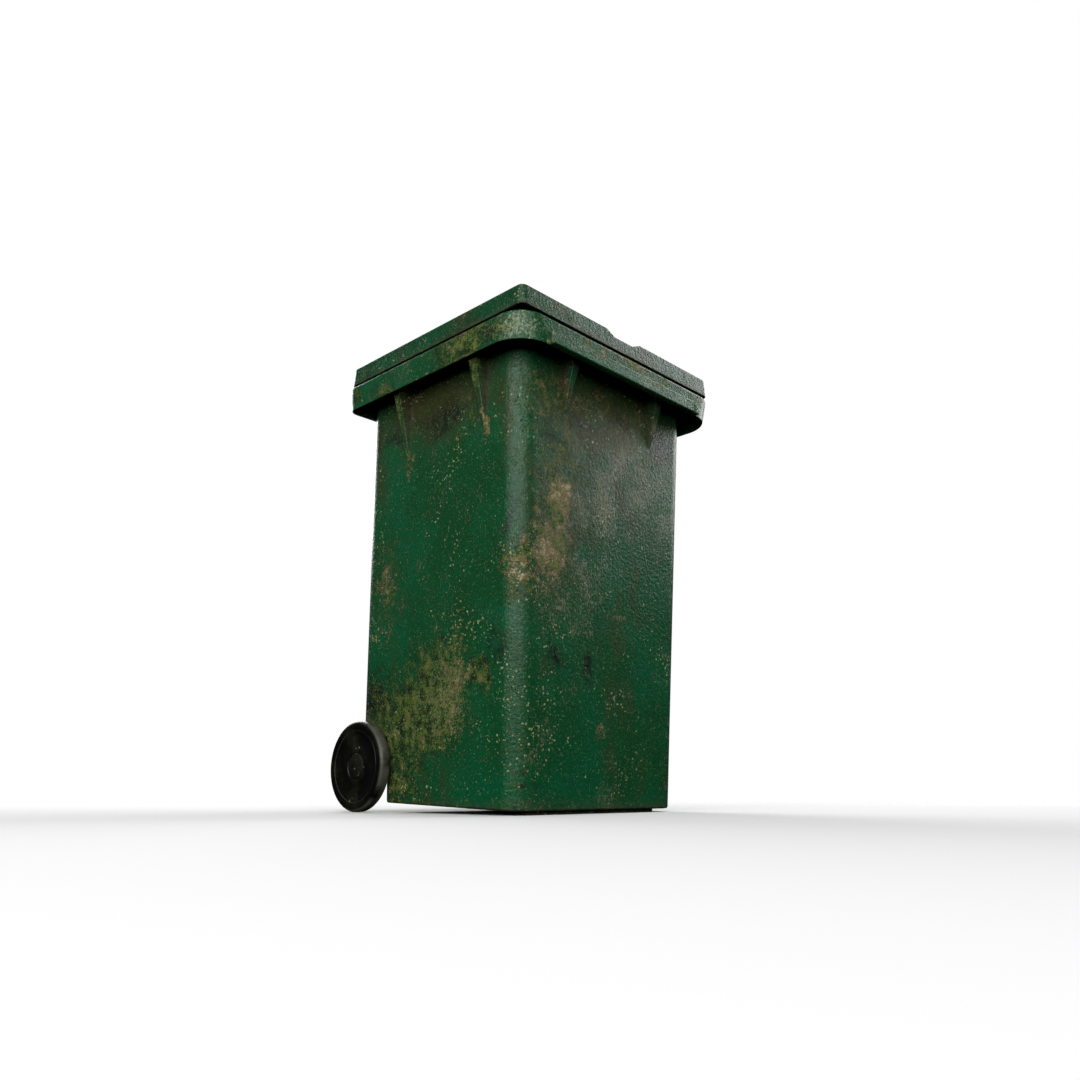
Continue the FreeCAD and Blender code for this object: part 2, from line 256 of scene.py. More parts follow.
def skinned(loops: Sequence[Sequence[Point]], capped: bool) -> bmesh.types.BMesh:
    """Join closed loops of equally many points with faces.

    Args:
        loops: The loops, in order along the shape.
        capped: Whether the first and the last loop are closed with a face.

    Returns:
        The shape.
    """
    bm = bmesh.new()
    rings = [[bm.verts.new(spot) for spot in loop] for loop in loops]
    if capped:
        bm.faces.new(rings[0])
        bm.faces.new(rings[-1])
    for first, second in zip(rings, rings[1:]):
        for index in range(len(first)):
            after = (index + 1) % len(first)
            bm.faces.new((first[index], first[after], second[after], second[index]))
    return bm


def turned(profile: Sequence[Flat], centre: Flat, segments: int, closed: bool) -> bmesh.types.BMesh:
    """Turn a profile round an axis that runs along X.

    Args:
        profile: (x, radius) points in order.
        centre: (y, z) of the axis.
        segments: Steps round the axis.
        closed: Whether the last point joins the first.

    Returns:
        The turned shape.
    """
    bm = bmesh.new()
    y, z = centre
    verts = [bm.verts.new((x, y, z + radius)) for x, radius in profile]
    pairs = list(zip(verts, verts[1:])) + ([(verts[-1], verts[0])] if closed else [])
    edges = [bm.edges.new(pair) for pair in pairs]
    bmesh.ops.spin(bm, geom=verts + edges, cent=(0, y, z), axis=(1, 0, 0), angle=math.tau, steps=segments,
                   use_merge=True)
    bmesh.ops.remove_doubles(bm, verts=bm.verts, dist=1e-6)
    bmesh.ops.recalc_face_normals(bm, faces=bm.faces)
    return bm


def hulled_plate(x_range: Flat, eye: Flat, radius: float, roots: Sequence[Flat],
                 edge: float) -> bmesh.types.BMesh:
    """Make a plate that runs from a round eye to a few root points.

    Args:
        x_range: X of its two sides.
        eye: (y, z) of the eye's middle.
        radius: Outer radius of the eye.
        roots: (y, z) of the other corners.
        edge: Rounding of its edges.

    Returns:
        The plate.
    """
    bm = bmesh.new()
    middle = ((x_range[0] + x_range[1]) / 2, *eye)
    place = Matrix.Translation(middle) @ Matrix.Rotation(math.pi / 2, 4, "Y")
    bmesh.ops.create_cone(bm, cap_ends=False, segments=32, radius1=radius, radius2=radius,
                          depth=abs(x_range[1] - x_range[0]), matrix=place)
    for x in x_range:
        for y, z in roots:
            bm.verts.new((x, y, z))
    hull = bmesh.ops.convex_hull(bm, input=bm.verts, use_existing_faces=False)
    left_over = hull["geom_interior"] + hull["geom_unused"]
    spare = [item for item in left_over if isinstance(item, bmesh.types.BMVert)]
    bmesh.ops.delete(bm, geom=list(set(spare)), context="VERTS")
    bmesh.ops.dissolve_limit(bm, angle_limit=math.radians(1), verts=bm.verts, edges=bm.edges)
    bmesh.ops.recalc_face_normals(bm, faces=bm.faces)
    round_edges(bm, sharp_edges(bm, 40), edge, 2)
    return bm


def thickened(bm: bmesh.types.BMesh, wall: float, lip: float) -> bmesh.types.BMesh:
    """Give an open sheet a wall on its inside and soften the lip of the wall.

    Args:
        bm: The open sheet, which is used up.
        wall: Thickness of the wall.
        lip: Rounding of the wall's open edge.

    Returns:
        The shape with its wall.
    """
    bmesh.ops.recalc_face_normals(bm, faces=bm.faces)
    middle = sum((vert.co for vert in bm.verts), Vector()) / len(bm.verts)
    if sum(face.normal.dot(face.calc_center_median() - middle) * face.calc_area() for face in bm.faces) < 0:
        bmesh.ops.reverse_faces(bm, faces=bm.faces)
    mesh = bpy.data.meshes.new("sheet")
    bm.to_mesh(mesh)
    bm.free()
    sheet = bpy.data.objects.new("sheet", mesh)
    bpy.context.scene.collection.objects.link(sheet)
    solid = sheet.modifiers.new("wall", "SOLIDIFY")
    solid.thickness = wall
    solid.offset = -1.0
    solid.use_even_offset = True
    solid.use_quality_normals = True
    soft = sheet.modifiers.new("lip", "BEVEL")
    soft.width = lip
    soft.segments = 2
    soft.limit_method = "ANGLE"
    soft.angle_limit = math.radians(50)
    graph = bpy.context.evaluated_depsgraph_get()
    result = bmesh.new()
    result.from_object(sheet, graph)
    bpy.data.objects.remove(sheet)
    bpy.data.meshes.remove(mesh)
    return result


def joined(shapes: Iterable[bmesh.types.BMesh]) -> bmesh.types.BMesh:
    """Gather several shapes in one.

    Args:
        shapes: The shapes, which are used up.

    Returns:
        One shape that holds them all.
    """
    whole = bmesh.new()
    for shape in shapes:
        mesh = bpy.data.meshes.new("part")
        shape.to_mesh(mesh)
        shape.free()
        whole.from_mesh(mesh)
        bpy.data.meshes.remove(mesh)
    return whole


def mirrored_pair(make: Callable[[float], bmesh.types.BMesh]) -> list[bmesh.types.BMesh]:
    """Make a shape for each side.

    Args:
        make: Builds the shape for a sign on X.

    Returns:
        The left and the right shape.
    """
    return [make(float(side.value)) for side in Side]


def place(name: str, bm: bmesh.types.BMesh, body: str, slot: Slot, finish: bpy.types.Material,
          stands_for: Sequence[str]) -> bpy.types.Object:
    """Turn a shape into a finished piece that rides on a body of the frame.

    Args:
        name: Name of the piece.
        bm: Its shape, which is used up.
        body: The body that it rides on.
        slot: Material slot of the record that it follows; not used.
        finish: Its material.
        stands_for: CAD nodes that it replaces.

    Returns:
        The finished object.
    """
    mesh = bpy.data.meshes.new(name)
    bm.to_mesh(mesh)
    bm.free()
    mesh.shade_smooth()
    mesh.set_sharp_from_angle(angle=math.radians(38))
    mesh.materials.append(finish)
    piece = bpy.data.objects.new(name, mesh)
    bpy.context.scene.collection.objects.link(piece)
    even = piece.modifiers.new("even_shading", "WEIGHTED_NORMAL")
    even.keep_sharp = True
    even.weight = 60
    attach(piece, body)
    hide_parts(*stands_for)
    LOG.info("%s: %d faces, rides on %s", name, len(mesh.polygons), body)
    return piece


# ---------------------------------------------------------------- node tools


class Bench:
    """Places and joins the nodes of one node tree."""

    def __init__(self, tree: bpy.types.NodeTree) -> None:
        """Take hold of a tree.

        Args:
            tree: The tree to fill.
        """
        self.tree = tree
        self.count = 0

    def add(self, kind: str, given: dict[Union[int, str], Given], **settings: object) -> bpy.types.Node:
        """Add a node, set it up and join its inputs.

        Args:
            kind: Node type.
            given: A value or a socket for each named or numbered input.
            **settings: Properties of the node.

        Returns:
            The node.
        """
        node = self.tree.nodes.new(kind)
        node.location = (self.count % 8 * 220, -(self.count // 8) * 260)
        self.count += 1
        for key, value in settings.items():
            setattr(node, key, value)
        for key, value in given.items():
            if isinstance(value, bpy.types.NodeSocket):
                self.tree.links.new(value, node.inputs[key])
            else:
                node.inputs[key].default_value = value
        return node

    def math(self, operation: str, first: Given, second: Given = 0.0, clamp: bool = False) -> Socket:
        """Combine two numbers.

        Args:
            operation: Math operation.
            first: First number.
            second: Second number.
            clamp: Whether to keep the result in 0 to 1.

        Returns:
            The result.
        """
        node = self.add("ShaderNodeMath", {0: first, 1: second}, operation=operation, use_clamp=clamp)
        return node.outputs[0]

    def plus(self, total: Given, value: Given, share: Given) -> Socket:
        """Add a share of a value to a total."""
        return self.add("ShaderNodeMath", {0: value, 1: share, 2: total}, operation="MULTIPLY_ADD").outputs[0]

    def vector(self, operation: str, first: Given, second: Given) -> Socket:
        """Combine two vectors.

        Args:
            operation: Vector operation.
            first: First vector.
            second: Second vector.

        Returns:
            The resulting vector, or the number for an operation that gives one.
        """
        node = self.add("ShaderNodeVectorMath", {0: first, 1: second}, operation=operation)
        return node.outputs["Value" if operation in ("LENGTH", "DISTANCE", "DOT_PRODUCT") else "Vector"]

    def stretched(self, vector: Given, scale: Point, shift: Point = (0.0, 0.0, 0.0)) -> Socket:
        """Scale and shift a vector.

        Args:
            vector: The vector.
            scale: Factor along each axis.
            shift: Shift along each axis.

        Returns:
            The changed vector.
        """
        return self.add("ShaderNodeMapping", {"Vector": vector, "Scale": scale, "Location": shift}).outputs[0]

    def noise(self, vector: Given, scale: Given, detail: float = 4.0, rough: float = 0.55) -> Socket:
        """Add cloudy noise.

        Args:
            vector: Where it is read.
            scale: Its scale per metre.
            detail: Octaves.
            rough: Strength of the finer octaves.

        Returns:
            A value around 0.5.
        """
        given = {"Vector": vector, "Scale": scale, "Detail": detail, "Roughness": rough}
        return self.add("ShaderNodeTexNoise", given).outputs[0]

    def ease(self, value: Given, low: Given, high: Given) -> Socket:
        """Ease a value from 0 to 1 between two limits.

        Args:
            value: The value.
            low: Where it starts to rise.
            high: Where it is full.

        Returns:
            The eased value.
        """
        given = {"Value": value, "From Min": low, "From Max": high}
        return self.add("ShaderNodeMapRange", given, interpolation_type="SMOOTHSTEP", clamp=True).outputs[0]

    def mix(self, share: Given, first: Given, second: Given) -> Socket:
        """Mix two colours.

        Args:
            share: Share of the second.
            first: First colour.
            second: Second colour.

        Returns:
            The mixed colour.
        """
        return self.add("ShaderNodeMix", {0: share, 6: first, 7: second}, data_type="RGBA").outputs[2]

    def ramp(self, value: Given, stops: Sequence[tuple[float, Colour]]) -> Socket:
        """Turn a value into a colour.

        Args:
            value: The value.
            stops: Positions and their colours.

        Returns:
            The colour.
        """
        node = self.add("ShaderNodeValToRGB", {"Fac": value})
        elements = node.color_ramp.elements
        while len(elements) < len(stops):
            elements.new(1.0)
        for element, (position, colour) in zip(elements, stops):
            element.position = position
            element.color = colour
        return node.outputs["Color"]

    def parts(self, vector: Given) -> tuple[Socket, Socket, Socket]:
        """Split a vector.

        Args:
            vector: The vector.

        Returns:
            Its X, Y and Z.
        """
        node = self.add("ShaderNodeSeparateXYZ", {"Vector": vector})
        return node.outputs[0], node.outputs[1], node.outputs[2]


@dataclass(frozen=True)
class Effect:
    """A shared shader group: its sockets and what goes on between them."""

    name: str
    takes: Sequence[tuple[str, str]]
    gives: Sequence[tuple[str, str]]
    build: Callable[[Bench, dict[str, Socket]], Sequence[Socket]]

    def group(self) -> bpy.types.NodeTree:
        """Build the group once and hand it out from then on.

        Returns:
            The group's tree.
        """
        known = bpy.data.node_groups.get(self.name)
        if known:
            return known
        tree = bpy.data.node_groups.new(self.name, "ShaderNodeTree")
        for name, kind in self.takes:
            tree.interface.new_socket(name=name, in_out="INPUT", socket_type=kind)
        for name, kind in self.gives:
            tree.interface.new_socket(name=name, in_out="OUTPUT", socket_type=kind)
        bench = Bench(tree)
        entry = bench.add("NodeGroupInput", {})
        results = self.build(bench, {name: entry.outputs[name] for name, _ in self.takes})
        bench.add("NodeGroupOutput", {name: result for (name, _), result in zip(self.gives, results)})
        return tree

    def use(self, bench: Bench, **given: Given) -> dict[str, Socket]:
        """Put the group in a tree.

        Args:
            bench: The tree's bench.
            **given: A value or socket for each input.

        Returns:
            The group's outputs by name.
        """
        node = bench.add("ShaderNodeGroup", given, node_tree=self.group())
        return {name: node.outputs[name] for name, _ in self.gives}


NUMBER = "NodeSocketFloat"
VECTOR = "NodeSocketVector"
COLOUR = "NodeSocketColor"


def _soft_spot(bench: Bench, takes: dict[str, Socket]) -> Sequence[Socket]:
    """Fade from 1 in the middle of an ellipsoid to 0 at its edge."""
    away = bench.vector("SUBTRACT", takes["Vector"], takes["Centre"])
    length = bench.vector("LENGTH", bench.vector("DIVIDE", away, takes["Reach"]), (0, 0, 0))
    fade = bench.ease(bench.math("SUBTRACT", 1.0, length), 0.0, 0.9)
    return [bench.math("MULTIPLY", fade, takes["Strength"])]


def _crust(bench: Bench, takes: dict[str, Socket]) -> Sequence[Socket]:
    """Grainy growth that thickens with Cover and goes from moss to dry tan with Dryness."""
    fine = bench.noise(takes["Vector"], 330.0, 3.0, 0.75)
    mid = bench.noise(takes["Vector"], 80.0, 4.0, 0.65)
    grain = bench.plus(bench.math("MULTIPLY", fine, 0.58), mid, 0.42)
    mask = bench.ease(bench.plus(grain, takes["Cover"], 0.135), 0.60, 0.635)
    shifted = bench.stretched(takes["Vector"], (1, 1, 1), (3.1, 7.7, 1.3))
    tone = bench.plus(-1.80, bench.noise(shifted, 240.0, 3.0, 0.8), 2.2)
    tone = bench.plus(tone, bench.noise(shifted, 42.0, 4.0, 0.6), 1.9)
    tone = bench.plus(tone, takes["Dryness"], 0.22)
    colour = bench.ramp(tone, (
        (0.00, paint(14, 28, 10)), (0.13, paint(46, 78, 18)), (0.27, paint(112, 148, 44)),
        (0.38, paint(62, 78, 26)), (0.50, paint(166, 140, 98)), (0.62, paint(108, 88, 52)),
        (0.84, paint(198, 186, 142))))
    return [colour, mask, bench.math("MULTIPLY", mask, grain)]


def _specks(bench: Bench, takes: dict[str, Socket]) -> Sequence[Socket]:
    """Small separate dots of uneven size."""
    drift = bench.noise(takes["Vector"], 180.0, 2.0)
    moved = bench.vector("ADD", takes["Vector"], bench.stretched(
        bench.add("ShaderNodeCombineXYZ", {0: drift, 1: drift, 2: drift}).outputs[0], (0.006, 0.006, 0.006)))
    cells = bench.add("ShaderNodeTexVoronoi", {"Vector": moved, "Scale": takes["Scale"], "Randomness": 1.0})
    chance, size, _ = bench.parts(cells.outputs["Color"])
    near = bench.math("SUBTRACT", bench.math("MULTIPLY", size, takes["Size"]), cells.outputs["Distance"])
    dot = bench.ease(near, 0.0, 0.10)
    kept = bench.math("LESS_THAN", chance, takes["Density"])
    return [bench.math("MULTIPLY", dot, kept)]


def _strokes(bench: Bench, takes: dict[str, Socket]) -> Sequence[Socket]:
    """Short upright marks that come in crowds."""
    lines = bench.noise(bench.stretched(takes["Vector"], (260, 260, 120)), 1.0, 3.0, 0.7)
    crowd = bench.noise(takes["Vector"], 13.0, 5.0, 0.65)
    level = bench.plus(bench.plus(lines, crowd, 0.9), takes["Cover"], 0.13)
    return [bench.ease(level, 1.11, 1.20)]


def _run_down(bench: Bench, takes: dict[str, Socket]) -> Sequence[Socket]:
    """Streaks that run down the walls."""
    narrow = bench.noise(bench.stretched(takes["Vector"], (38, 38, 2.6)), 1.0, 5.0, 0.6)
    broken = bench.noise(bench.stretched(takes["Vector"], (90, 90, 14)), 1.0, 4.0, 0.7)
    both = bench.plus(bench.math("MULTIPLY", narrow, 0.65), broken, 0.35)
    return [bench.ease(both, takes["Low"], takes["High"])]


def _moulded_grain(bench: Bench, takes: dict[str, Socket]) -> Sequence[Socket]:
    """Height of a moulded skin: fine grain, upright scuffs and slow unevenness."""
    fine = bench.noise(takes["Vector"], takes["Scale"], 2.0, 0.6)
    scuffs = bench.noise(bench.stretched(takes["Vector"], (330, 330, 95)), 1.0, 3.0, 0.65)
    slow = bench.noise(takes["Vector"], 7.0, 3.0, 0.5)
    height = bench.plus(bench.math("MULTIPLY", fine, 0.5), scuffs, takes["Scuff"])
    return [bench.plus(height, slow, takes["Slow"])]


def _worn_edge(bench: Bench, takes: dict[str, Socket]) -> Sequence[Socket]:
    """Find the edges of a shape."""
    soft = bench.add("ShaderNodeBevel", {"Radius": takes["Radius"]}, samples=4).outputs[0]
    sharp = bench.add("ShaderNodeNewGeometry", {}).outputs["Normal"]
    turn = bench.math("SUBTRACT", 1.0, bench.vector("DOT_PRODUCT", soft, sharp))
    return [bench.ease(turn, 0.005, 0.12)]


def _crevice_shade_and_dirt(bench: Bench, takes: dict[str, Socket]) -> Sequence[Socket]:
    """Darken where the surface is closed in, from ambient occlusion: partly dirt in corners, partly painted
    shade in corners, under the rim and between parts.
    """
    around = bench.add("ShaderNodeAmbientOcclusion", {"Distance": takes["Reach"]}, samples=6)
    rough = bench.noise(takes["Vector"], 46.0, 5.0, 0.65)
    closed = bench.math("SUBTRACT", 1.0, around.outputs["AO"])
    return [bench.ease(bench.math("MULTIPLY", closed, bench.math("ADD", rough, 0.45)), 0.12, 0.62)]


SOFT_SPOT = Effect("soft_spot", (("Vector", VECTOR), ("Centre", VECTOR), ("Reach", VECTOR),
                                 ("Strength", NUMBER)), (("Mask", NUMBER),), _soft_spot)
CRUST = Effect("crust", (("Vector", VECTOR), ("Cover", NUMBER), ("Dryness", NUMBER)),
               (("Color", COLOUR), ("Mask", NUMBER), ("Height", NUMBER)), _crust)
SPECKS = Effect("specks", (("Vector", VECTOR), ("Scale", NUMBER), ("Size", NUMBER), ("Density", NUMBER)),
                (("Mask", NUMBER),), _specks)
STROKES = Effect("strokes", (("Vector", VECTOR), ("Cover", NUMBER)), (("Mask", NUMBER),), _strokes)
RUN_DOWN = Effect("run_down", (("Vector", VECTOR), ("Low", NUMBER), ("High", NUMBER)),
                  (("Mask", NUMBER),), _run_down)
MOULDED_GRAIN = Effect("moulded_grain", (("Vector", VECTOR), ("Scale", NUMBER), ("Scuff", NUMBER),
                                         ("Slow", NUMBER)), (("Height", NUMBER),), _moulded_grain)
WORN_EDGE = Effect("worn_edge", (("Radius", NUMBER),), (("Mask", NUMBER),), _worn_edge)
CREVICE_SHADE_AND_DIRT = Effect("crevice_shade_and_dirt", (("Vector", VECTOR), ("Reach", NUMBER)), (("Mask", NUMBER),), _crevice_shade_and_dirt)


# ---------------------------------------------------------------- finishes


@dataclass(frozen=True)
class Patch:
    """A soft-edged place on the plastic where its colour changes."""

    centre: Point
    reach: Point
    strength: float = 1.0


def new_material(name: str, slot_colour: Colour) -> tuple[Bench, bpy.types.Node]:
    """Start a material with its shader.

    Args:
        name: Name of the material.
        slot_colour: Its colour in a plain view.

    Returns:
        A bench on its tree and the Principled shader.
    """
    material = bpy.data.materials.new(name)
    material.use_nodes = True
    material.diffuse_color = slot_colour
    tree = material.node_tree
    tree.nodes.clear()
    bench = Bench(tree)
    shader = bench.add("ShaderNodeBsdfPrincipled", {})
    bench.add("ShaderNodeOutputMaterial", {"Surface": shader.outputs[0]})
    return bench, shader


def object_point(bench: Bench) -> Socket:
    """Read the place on the object, in metres."""
    return bench.add("ShaderNodeTexCoord", {}).outputs["Object"]


def bumped(bench: Bench, shader: bpy.types.Node, height: Socket, depth: float) -> None:
    """Feed a height to the shader's normal.

    Args:
        bench: The material's bench.
        shader: Its shader.
        height: Height from 0 to 1.
        depth: Depth of the relief in metres.
    """
    bump = bench.add("ShaderNodeBump", {"Height": height, "Distance": depth, "Strength": 1.0})
    bench.tree.links.new(bump.outputs[0], shader.inputs["Normal"])


@dataclass(frozen=True)
class WeatheredPlastic:
    """Moulded green plastic that has stood outdoors for years, with painted shade in its corners and under its
    rim, and some painted sheen and highlight.
    """

    name: str
    clean: Colour
    deep: Colour
    olive: Colour = paint(64, 68, 34)
    # A dark colour for sooty marks and mottling, also used for painted shade in corners and under the rim.
    soot_and_shade: Colour = paint(26, 32, 28)
    dust: Colour = paint(92, 84, 62)
    speck: Colour = paint(186, 190, 134)
    # A pale colour for the upright strokes: partly chalky bloom, partly painted sheen on the front wall.
    bloom: Colour = paint(124, 128, 92)
    # A pale colour for pale growth, also used for a painted highlight on the rim's near front corner.
    pale_growth_and_highlight: Colour = paint(176, 190, 146)
    moss: Sequence[Patch] = ()
    dry: Sequence[Patch] = ()
    dark_patches: Sequence[Patch] = ()
    film: Sequence[Patch] = ()
    bloom_and_sheen_strokes: Sequence[Patch] = ()
    pale_growth_patches_and_highlight: Sequence[Patch] = ()
    band: tuple[float, ...] = ()
    cover: float = 0.0
    gloss: float = 0.23
    bump: float = 0.0004
    most: float = 1.4

    def patches(self, bench: Bench, point: Socket, patches: Sequence[Patch]) -> Socket:
        """Add up a list of soft patches.

        Args:
            bench: The material's bench.
            point: Where on the object.
            patches: The patches.

        Returns:
            Their sum, kept under a limit.
        """
        total: Given = 0.0
        for patch in patches:
            spot = SOFT_SPOT.use(bench, Vector=point, Centre=patch.centre, Reach=patch.reach,
                                 Strength=patch.strength)
            total = bench.math("ADD", total, spot["Mask"])
        return bench.math("MINIMUM", total, self.most)

    def wandering(self, bench: Bench, point: Socket) -> Socket:
        """Bend the coordinates so that patches lose their round outline.

        Args:
            bench: The material's bench.
            point: Where on the object.

        Returns:
            The bent coordinates.
        """
        given = {"Vector": point, "Scale": 11.0, "Detail": 5.0, "Roughness": 0.62}
        drift = bench.add("ShaderNodeTexNoise", given)
        centred = bench.vector("SUBTRACT", drift.outputs["Color"], (0.5, 0.5, 0.5))
        return bench.vector("ADD", point, bench.stretched(centred, (0.05, 0.16, 0.2)))

    def material(self) -> bpy.types.Material:
        """Build the material.

        Returns:
            The finished material.
        """
        bench, shader = new_material(self.name, self.clean)
        point = object_point(bench)
        bent = self.wandering(bench, point)
        clouds = bench.noise(point, 5.5, 5.0, 0.6)
        colour = bench.mix(bench.ease(clouds, 0.35, 0.68), self.clean, self.deep)

        film = bench.math("ADD", self.patches(bench, bent, self.film), bench.ease(
            bench.noise(bench.stretched(point, (9, 9, 4)), 1.0, 5.0, 0.6), 0.52, 0.74))
        colour = bench.mix(bench.math("MULTIPLY", film, 0.72, True), colour, self.olive)
        mottle = bench.ease(bench.noise(point, 130.0, 4.0, 0.72), 0.50, 0.72)
        colour = bench.mix(bench.math("MULTIPLY", mottle, 0.5), colour, self.soot_and_shade)

        # Painted sheen: the upright strokes on the front wall are painted pale, partly chalky bloom and partly
        # standing in for light caught by the strokes.
        strokes = STROKES.use(bench, Vector=point, Cover=self.patches(bench, bent, self.bloom_and_sheen_strokes))["Mask"]
        colour = bench.mix(bench.math("MULTIPLY", strokes, 0.6), colour, self.bloom)

        streaks = RUN_DOWN.use(bench, Vector=point, Low=0.55, High=0.70)["Mask"]
        dark_patches = self.patches(bench, bent, self.dark_patches)
        darkened = bench.plus(dark_patches, streaks, 0.16)
        broken = bench.ease(bench.noise(point, 60.0, 4.0, 0.7), 0.30, 0.62)
        colour = bench.mix(bench.math("MULTIPLY", darkened, broken, True), colour, self.soot_and_shade)

        # Painted shade: the occlusion mask lays dark and dust colours into corners, the pocket under the rim
        # and the gaps between parts.
        crevice_shade_and_dirt = CREVICE_SHADE_AND_DIRT.use(bench, Vector=point, Reach=0.05)["Mask"]
        _, _, height = bench.parts(point)
        shade_and_dirt = bench.math("MULTIPLY", crevice_shade_and_dirt, 0.8)
        # On the lid a darker band runs along the bottom of the skirt.
        if self.band:
            uneven = bench.math("SUBTRACT", bench.noise(point, 55.0, 5.0, 0.7), 0.5)
            band = bench.math("SUBTRACT", 1.0, bench.ease(bench.plus(height, uneven, 0.03), *self.band))
            shade_and_dirt = bench.math("MAXIMUM", shade_and_dirt, bench.math("MULTIPLY", band, 0.85))
        colour = bench.mix(shade_and_dirt, colour, bench.mix(broken, self.soot_and_shade, self.dust))

        wide = bench.ease(bench.noise(bent, 3.4, 3.0, 0.5), 0.50, 0.78)
        moss = self.patches(bench, bent, self.moss)
        dry = self.patches(bench, bent, self.dry)
        growth = bench.plus(bench.math("MAXIMUM", moss, dry), wide, self.cover)
        crust = CRUST.use(bench, Vector=point, Cover=growth, Dryness=bench.plus(dry, moss, -0.35))
        colour = bench.mix(crust["Mask"], colour, crust["Color"])

        # Pale growth marks; on the rim's near front corner the pale patch is partly growth and partly a
        # painted highlight.
        pale_growth_patches_and_highlight = self.patches(bench, bent, self.pale_growth_patches_and_highlight)
        pale_growth_and_highlight = bench.plus(bench.noise(point, 210.0, 4.0, 0.7), pale_growth_patches_and_highlight, 0.13)
        colour = bench.mix(bench.math("MULTIPLY", bench.ease(pale_growth_and_highlight, 0.58, 0.72), 0.62), colour, self.pale_growth_and_highlight)

        crowd = bench.ease(bench.noise(point, 7.0, 5.0, 0.65), 0.50, 0.66)
        many = bench.plus(0.005, crowd, 0.30)
        fine = SPECKS.use(bench, Vector=point, Scale=210.0, Size=0.62, Density=many)
        few = bench.plus(0.004, crowd, 0.24)
        large = SPECKS.use(bench, Vector=point, Scale=125.0, Size=0.42, Density=few)
        dots = bench.math("MAXIMUM", bench.math("MULTIPLY", fine["Mask"], 0.8), large["Mask"])
        colour = bench.mix(dots, colour, self.speck)

        skin = bench.noise(point, 520.0, 2.0, 0.6)
        dull = bench.math("MAXIMUM", crust["Mask"], bench.math("MULTIPLY", shade_and_dirt, 0.8))
        rough = bench.plus(bench.plus(bench.math("MULTIPLY", dull, 0.42), skin, 0.10), clouds, 0.12)
        relief = MOULDED_GRAIN.use(bench, Vector=point, Scale=620.0, Scuff=0.55, Slow=1.6)["Height"]
        relief = bench.plus(relief, crust["Height"], 4.5)
        relief = bench.plus(relief, bench.noise(point, 150.0, 3.0, 0.6), 4.0)
        relief = bench.plus(relief, bench.math("MAXIMUM", dots, strokes), 1.6)

        links = bench.tree.links
        links.new(colour, shader.inputs["Base Color"])
        links.new(bench.math("ADD", rough, self.gloss - 0.10, True), shader.inputs["Roughness"])
        shader.inputs["Specular IOR Level"].default_value = 0.46
        bumped(bench, shader, relief, self.bump)
        return bpy.data.materials[self.name]


@dataclass(frozen=True)
class BlackRubberOrPlastic:
    """Dark rubber or plastic with dust, moss specks and rubbed edges; on the tyre the paler tread is partly
    dust and partly a painted highlight.
    """

    name: str
    base: Colour
    worn: Colour
    roughness: float
    film: Colour = paint(44, 46, 22)
    speck: Colour = paint(132, 134, 74)
    grain: float = 420.0
    bump: float = 0.0006
    dirt: float = 0.55
    dust_and_highlight_from: float = 0.0
    axle: Point = (0.0, 0.222, 0.100)

    def material(self) -> bpy.types.Material:
        """Build the material.

        Returns:
            The finished material.
        """
        bench, shader = new_material(self.name, self.base)
        point = object_point(bench)
        clouds = bench.noise(point, 16.0, 5.0, 0.62)
        patchy = bench.ease(clouds, 0.45, 0.72)
        colour = bench.mix(bench.math("MULTIPLY", patchy, self.dirt), self.base, self.film)
        edge = WORN_EDGE.use(bench, Radius=0.003)["Mask"]
        # Painted highlight: the tread beyond this radius takes the pale worn colour, partly dust and partly
        # standing in for the light on the tread.
        if self.dust_and_highlight_from:
            flat = bench.vector("MULTIPLY", bench.vector("SUBTRACT", point, self.axle), (0.0, 1.0, 1.0))
            length = bench.vector("LENGTH", flat, (0.0, 0.0, 0.0))
            far = bench.ease(length, self.dust_and_highlight_from, self.dust_and_highlight_from + 0.006)
            edge = bench.math("MAXIMUM", edge, bench.math("MULTIPLY", far, bench.ease(clouds, 0.30, 0.55)))
        colour = bench.mix(bench.math("MULTIPLY", edge, 0.6), colour, self.worn)
        specks = SPECKS.use(bench, Vector=point, Scale=150.0, Size=0.40,
                            Density=bench.math("MULTIPLY", patchy, 0.24))
        colour = bench.mix(specks["Mask"], colour, self.speck)
        skin = bench.noise(point, self.grain, 3.0, 0.6)
        rough = bench.plus(bench.math("MULTIPLY", patchy, 0.25), skin, 0.14)
        bench.tree.links.new(colour, shader.inputs["Base Color"])
        bench.tree.links.new(bench.math("ADD", rough, self.roughness - 0.1, True), shader.inputs["Roughness"])
        relief = bench.plus(bench.plus(skin, specks["Mask"], 0.8), clouds, 1.5)
        bumped(bench, shader, relief, self.bump)
        return bpy.data.materials[self.name]


@dataclass(frozen=True)
class ZincSteel:
    """Zinc-plated steel with white bloom and the start of rust."""

    name: str
    zinc: Colour = paint(150, 152, 150)
    bloom: Colour = paint(176, 178, 172)
    rust: Colour = paint(104, 58, 30)
    rusty: float = 0.5

    def material(self) -> bpy.types.Material:
        """Build the material.

        Returns:
            The finished material.
        """
        bench, shader = new_material(self.name, self.zinc)
        point = object_point(bench)
        clouds = bench.noise(point, 70.0, 5.0, 0.6)
        colour = bench.mix(bench.ease(clouds, 0.40, 0.66), self.zinc, self.bloom)
        spots = bench.ease(bench.noise(point, 130.0, 5.0, 0.7), 0.62 - 0.12 * self.rusty, 0.72)
        colour = bench.mix(spots, colour, self.rust)
        lines = bench.noise(bench.stretched(point, (40, 900, 900)), 1.0, 2.0)
        bench.tree.links.new(colour, shader.inputs["Base Color"])
        bench.tree.links.new(bench.math("SUBTRACT", 0.95, spots), shader.inputs["Metallic"])
        rough = bench.plus(bench.plus(0.25, lines, 0.2), spots, 0.4)
        bench.tree.links.new(rough, shader.inputs["Roughness"])
        bumped(bench, shader, bench.math("ADD", lines, spots), 0.0003)
        return bpy.data.materials[self.name]


# ---------------------------------------------------------------- the bin's sub-assemblies


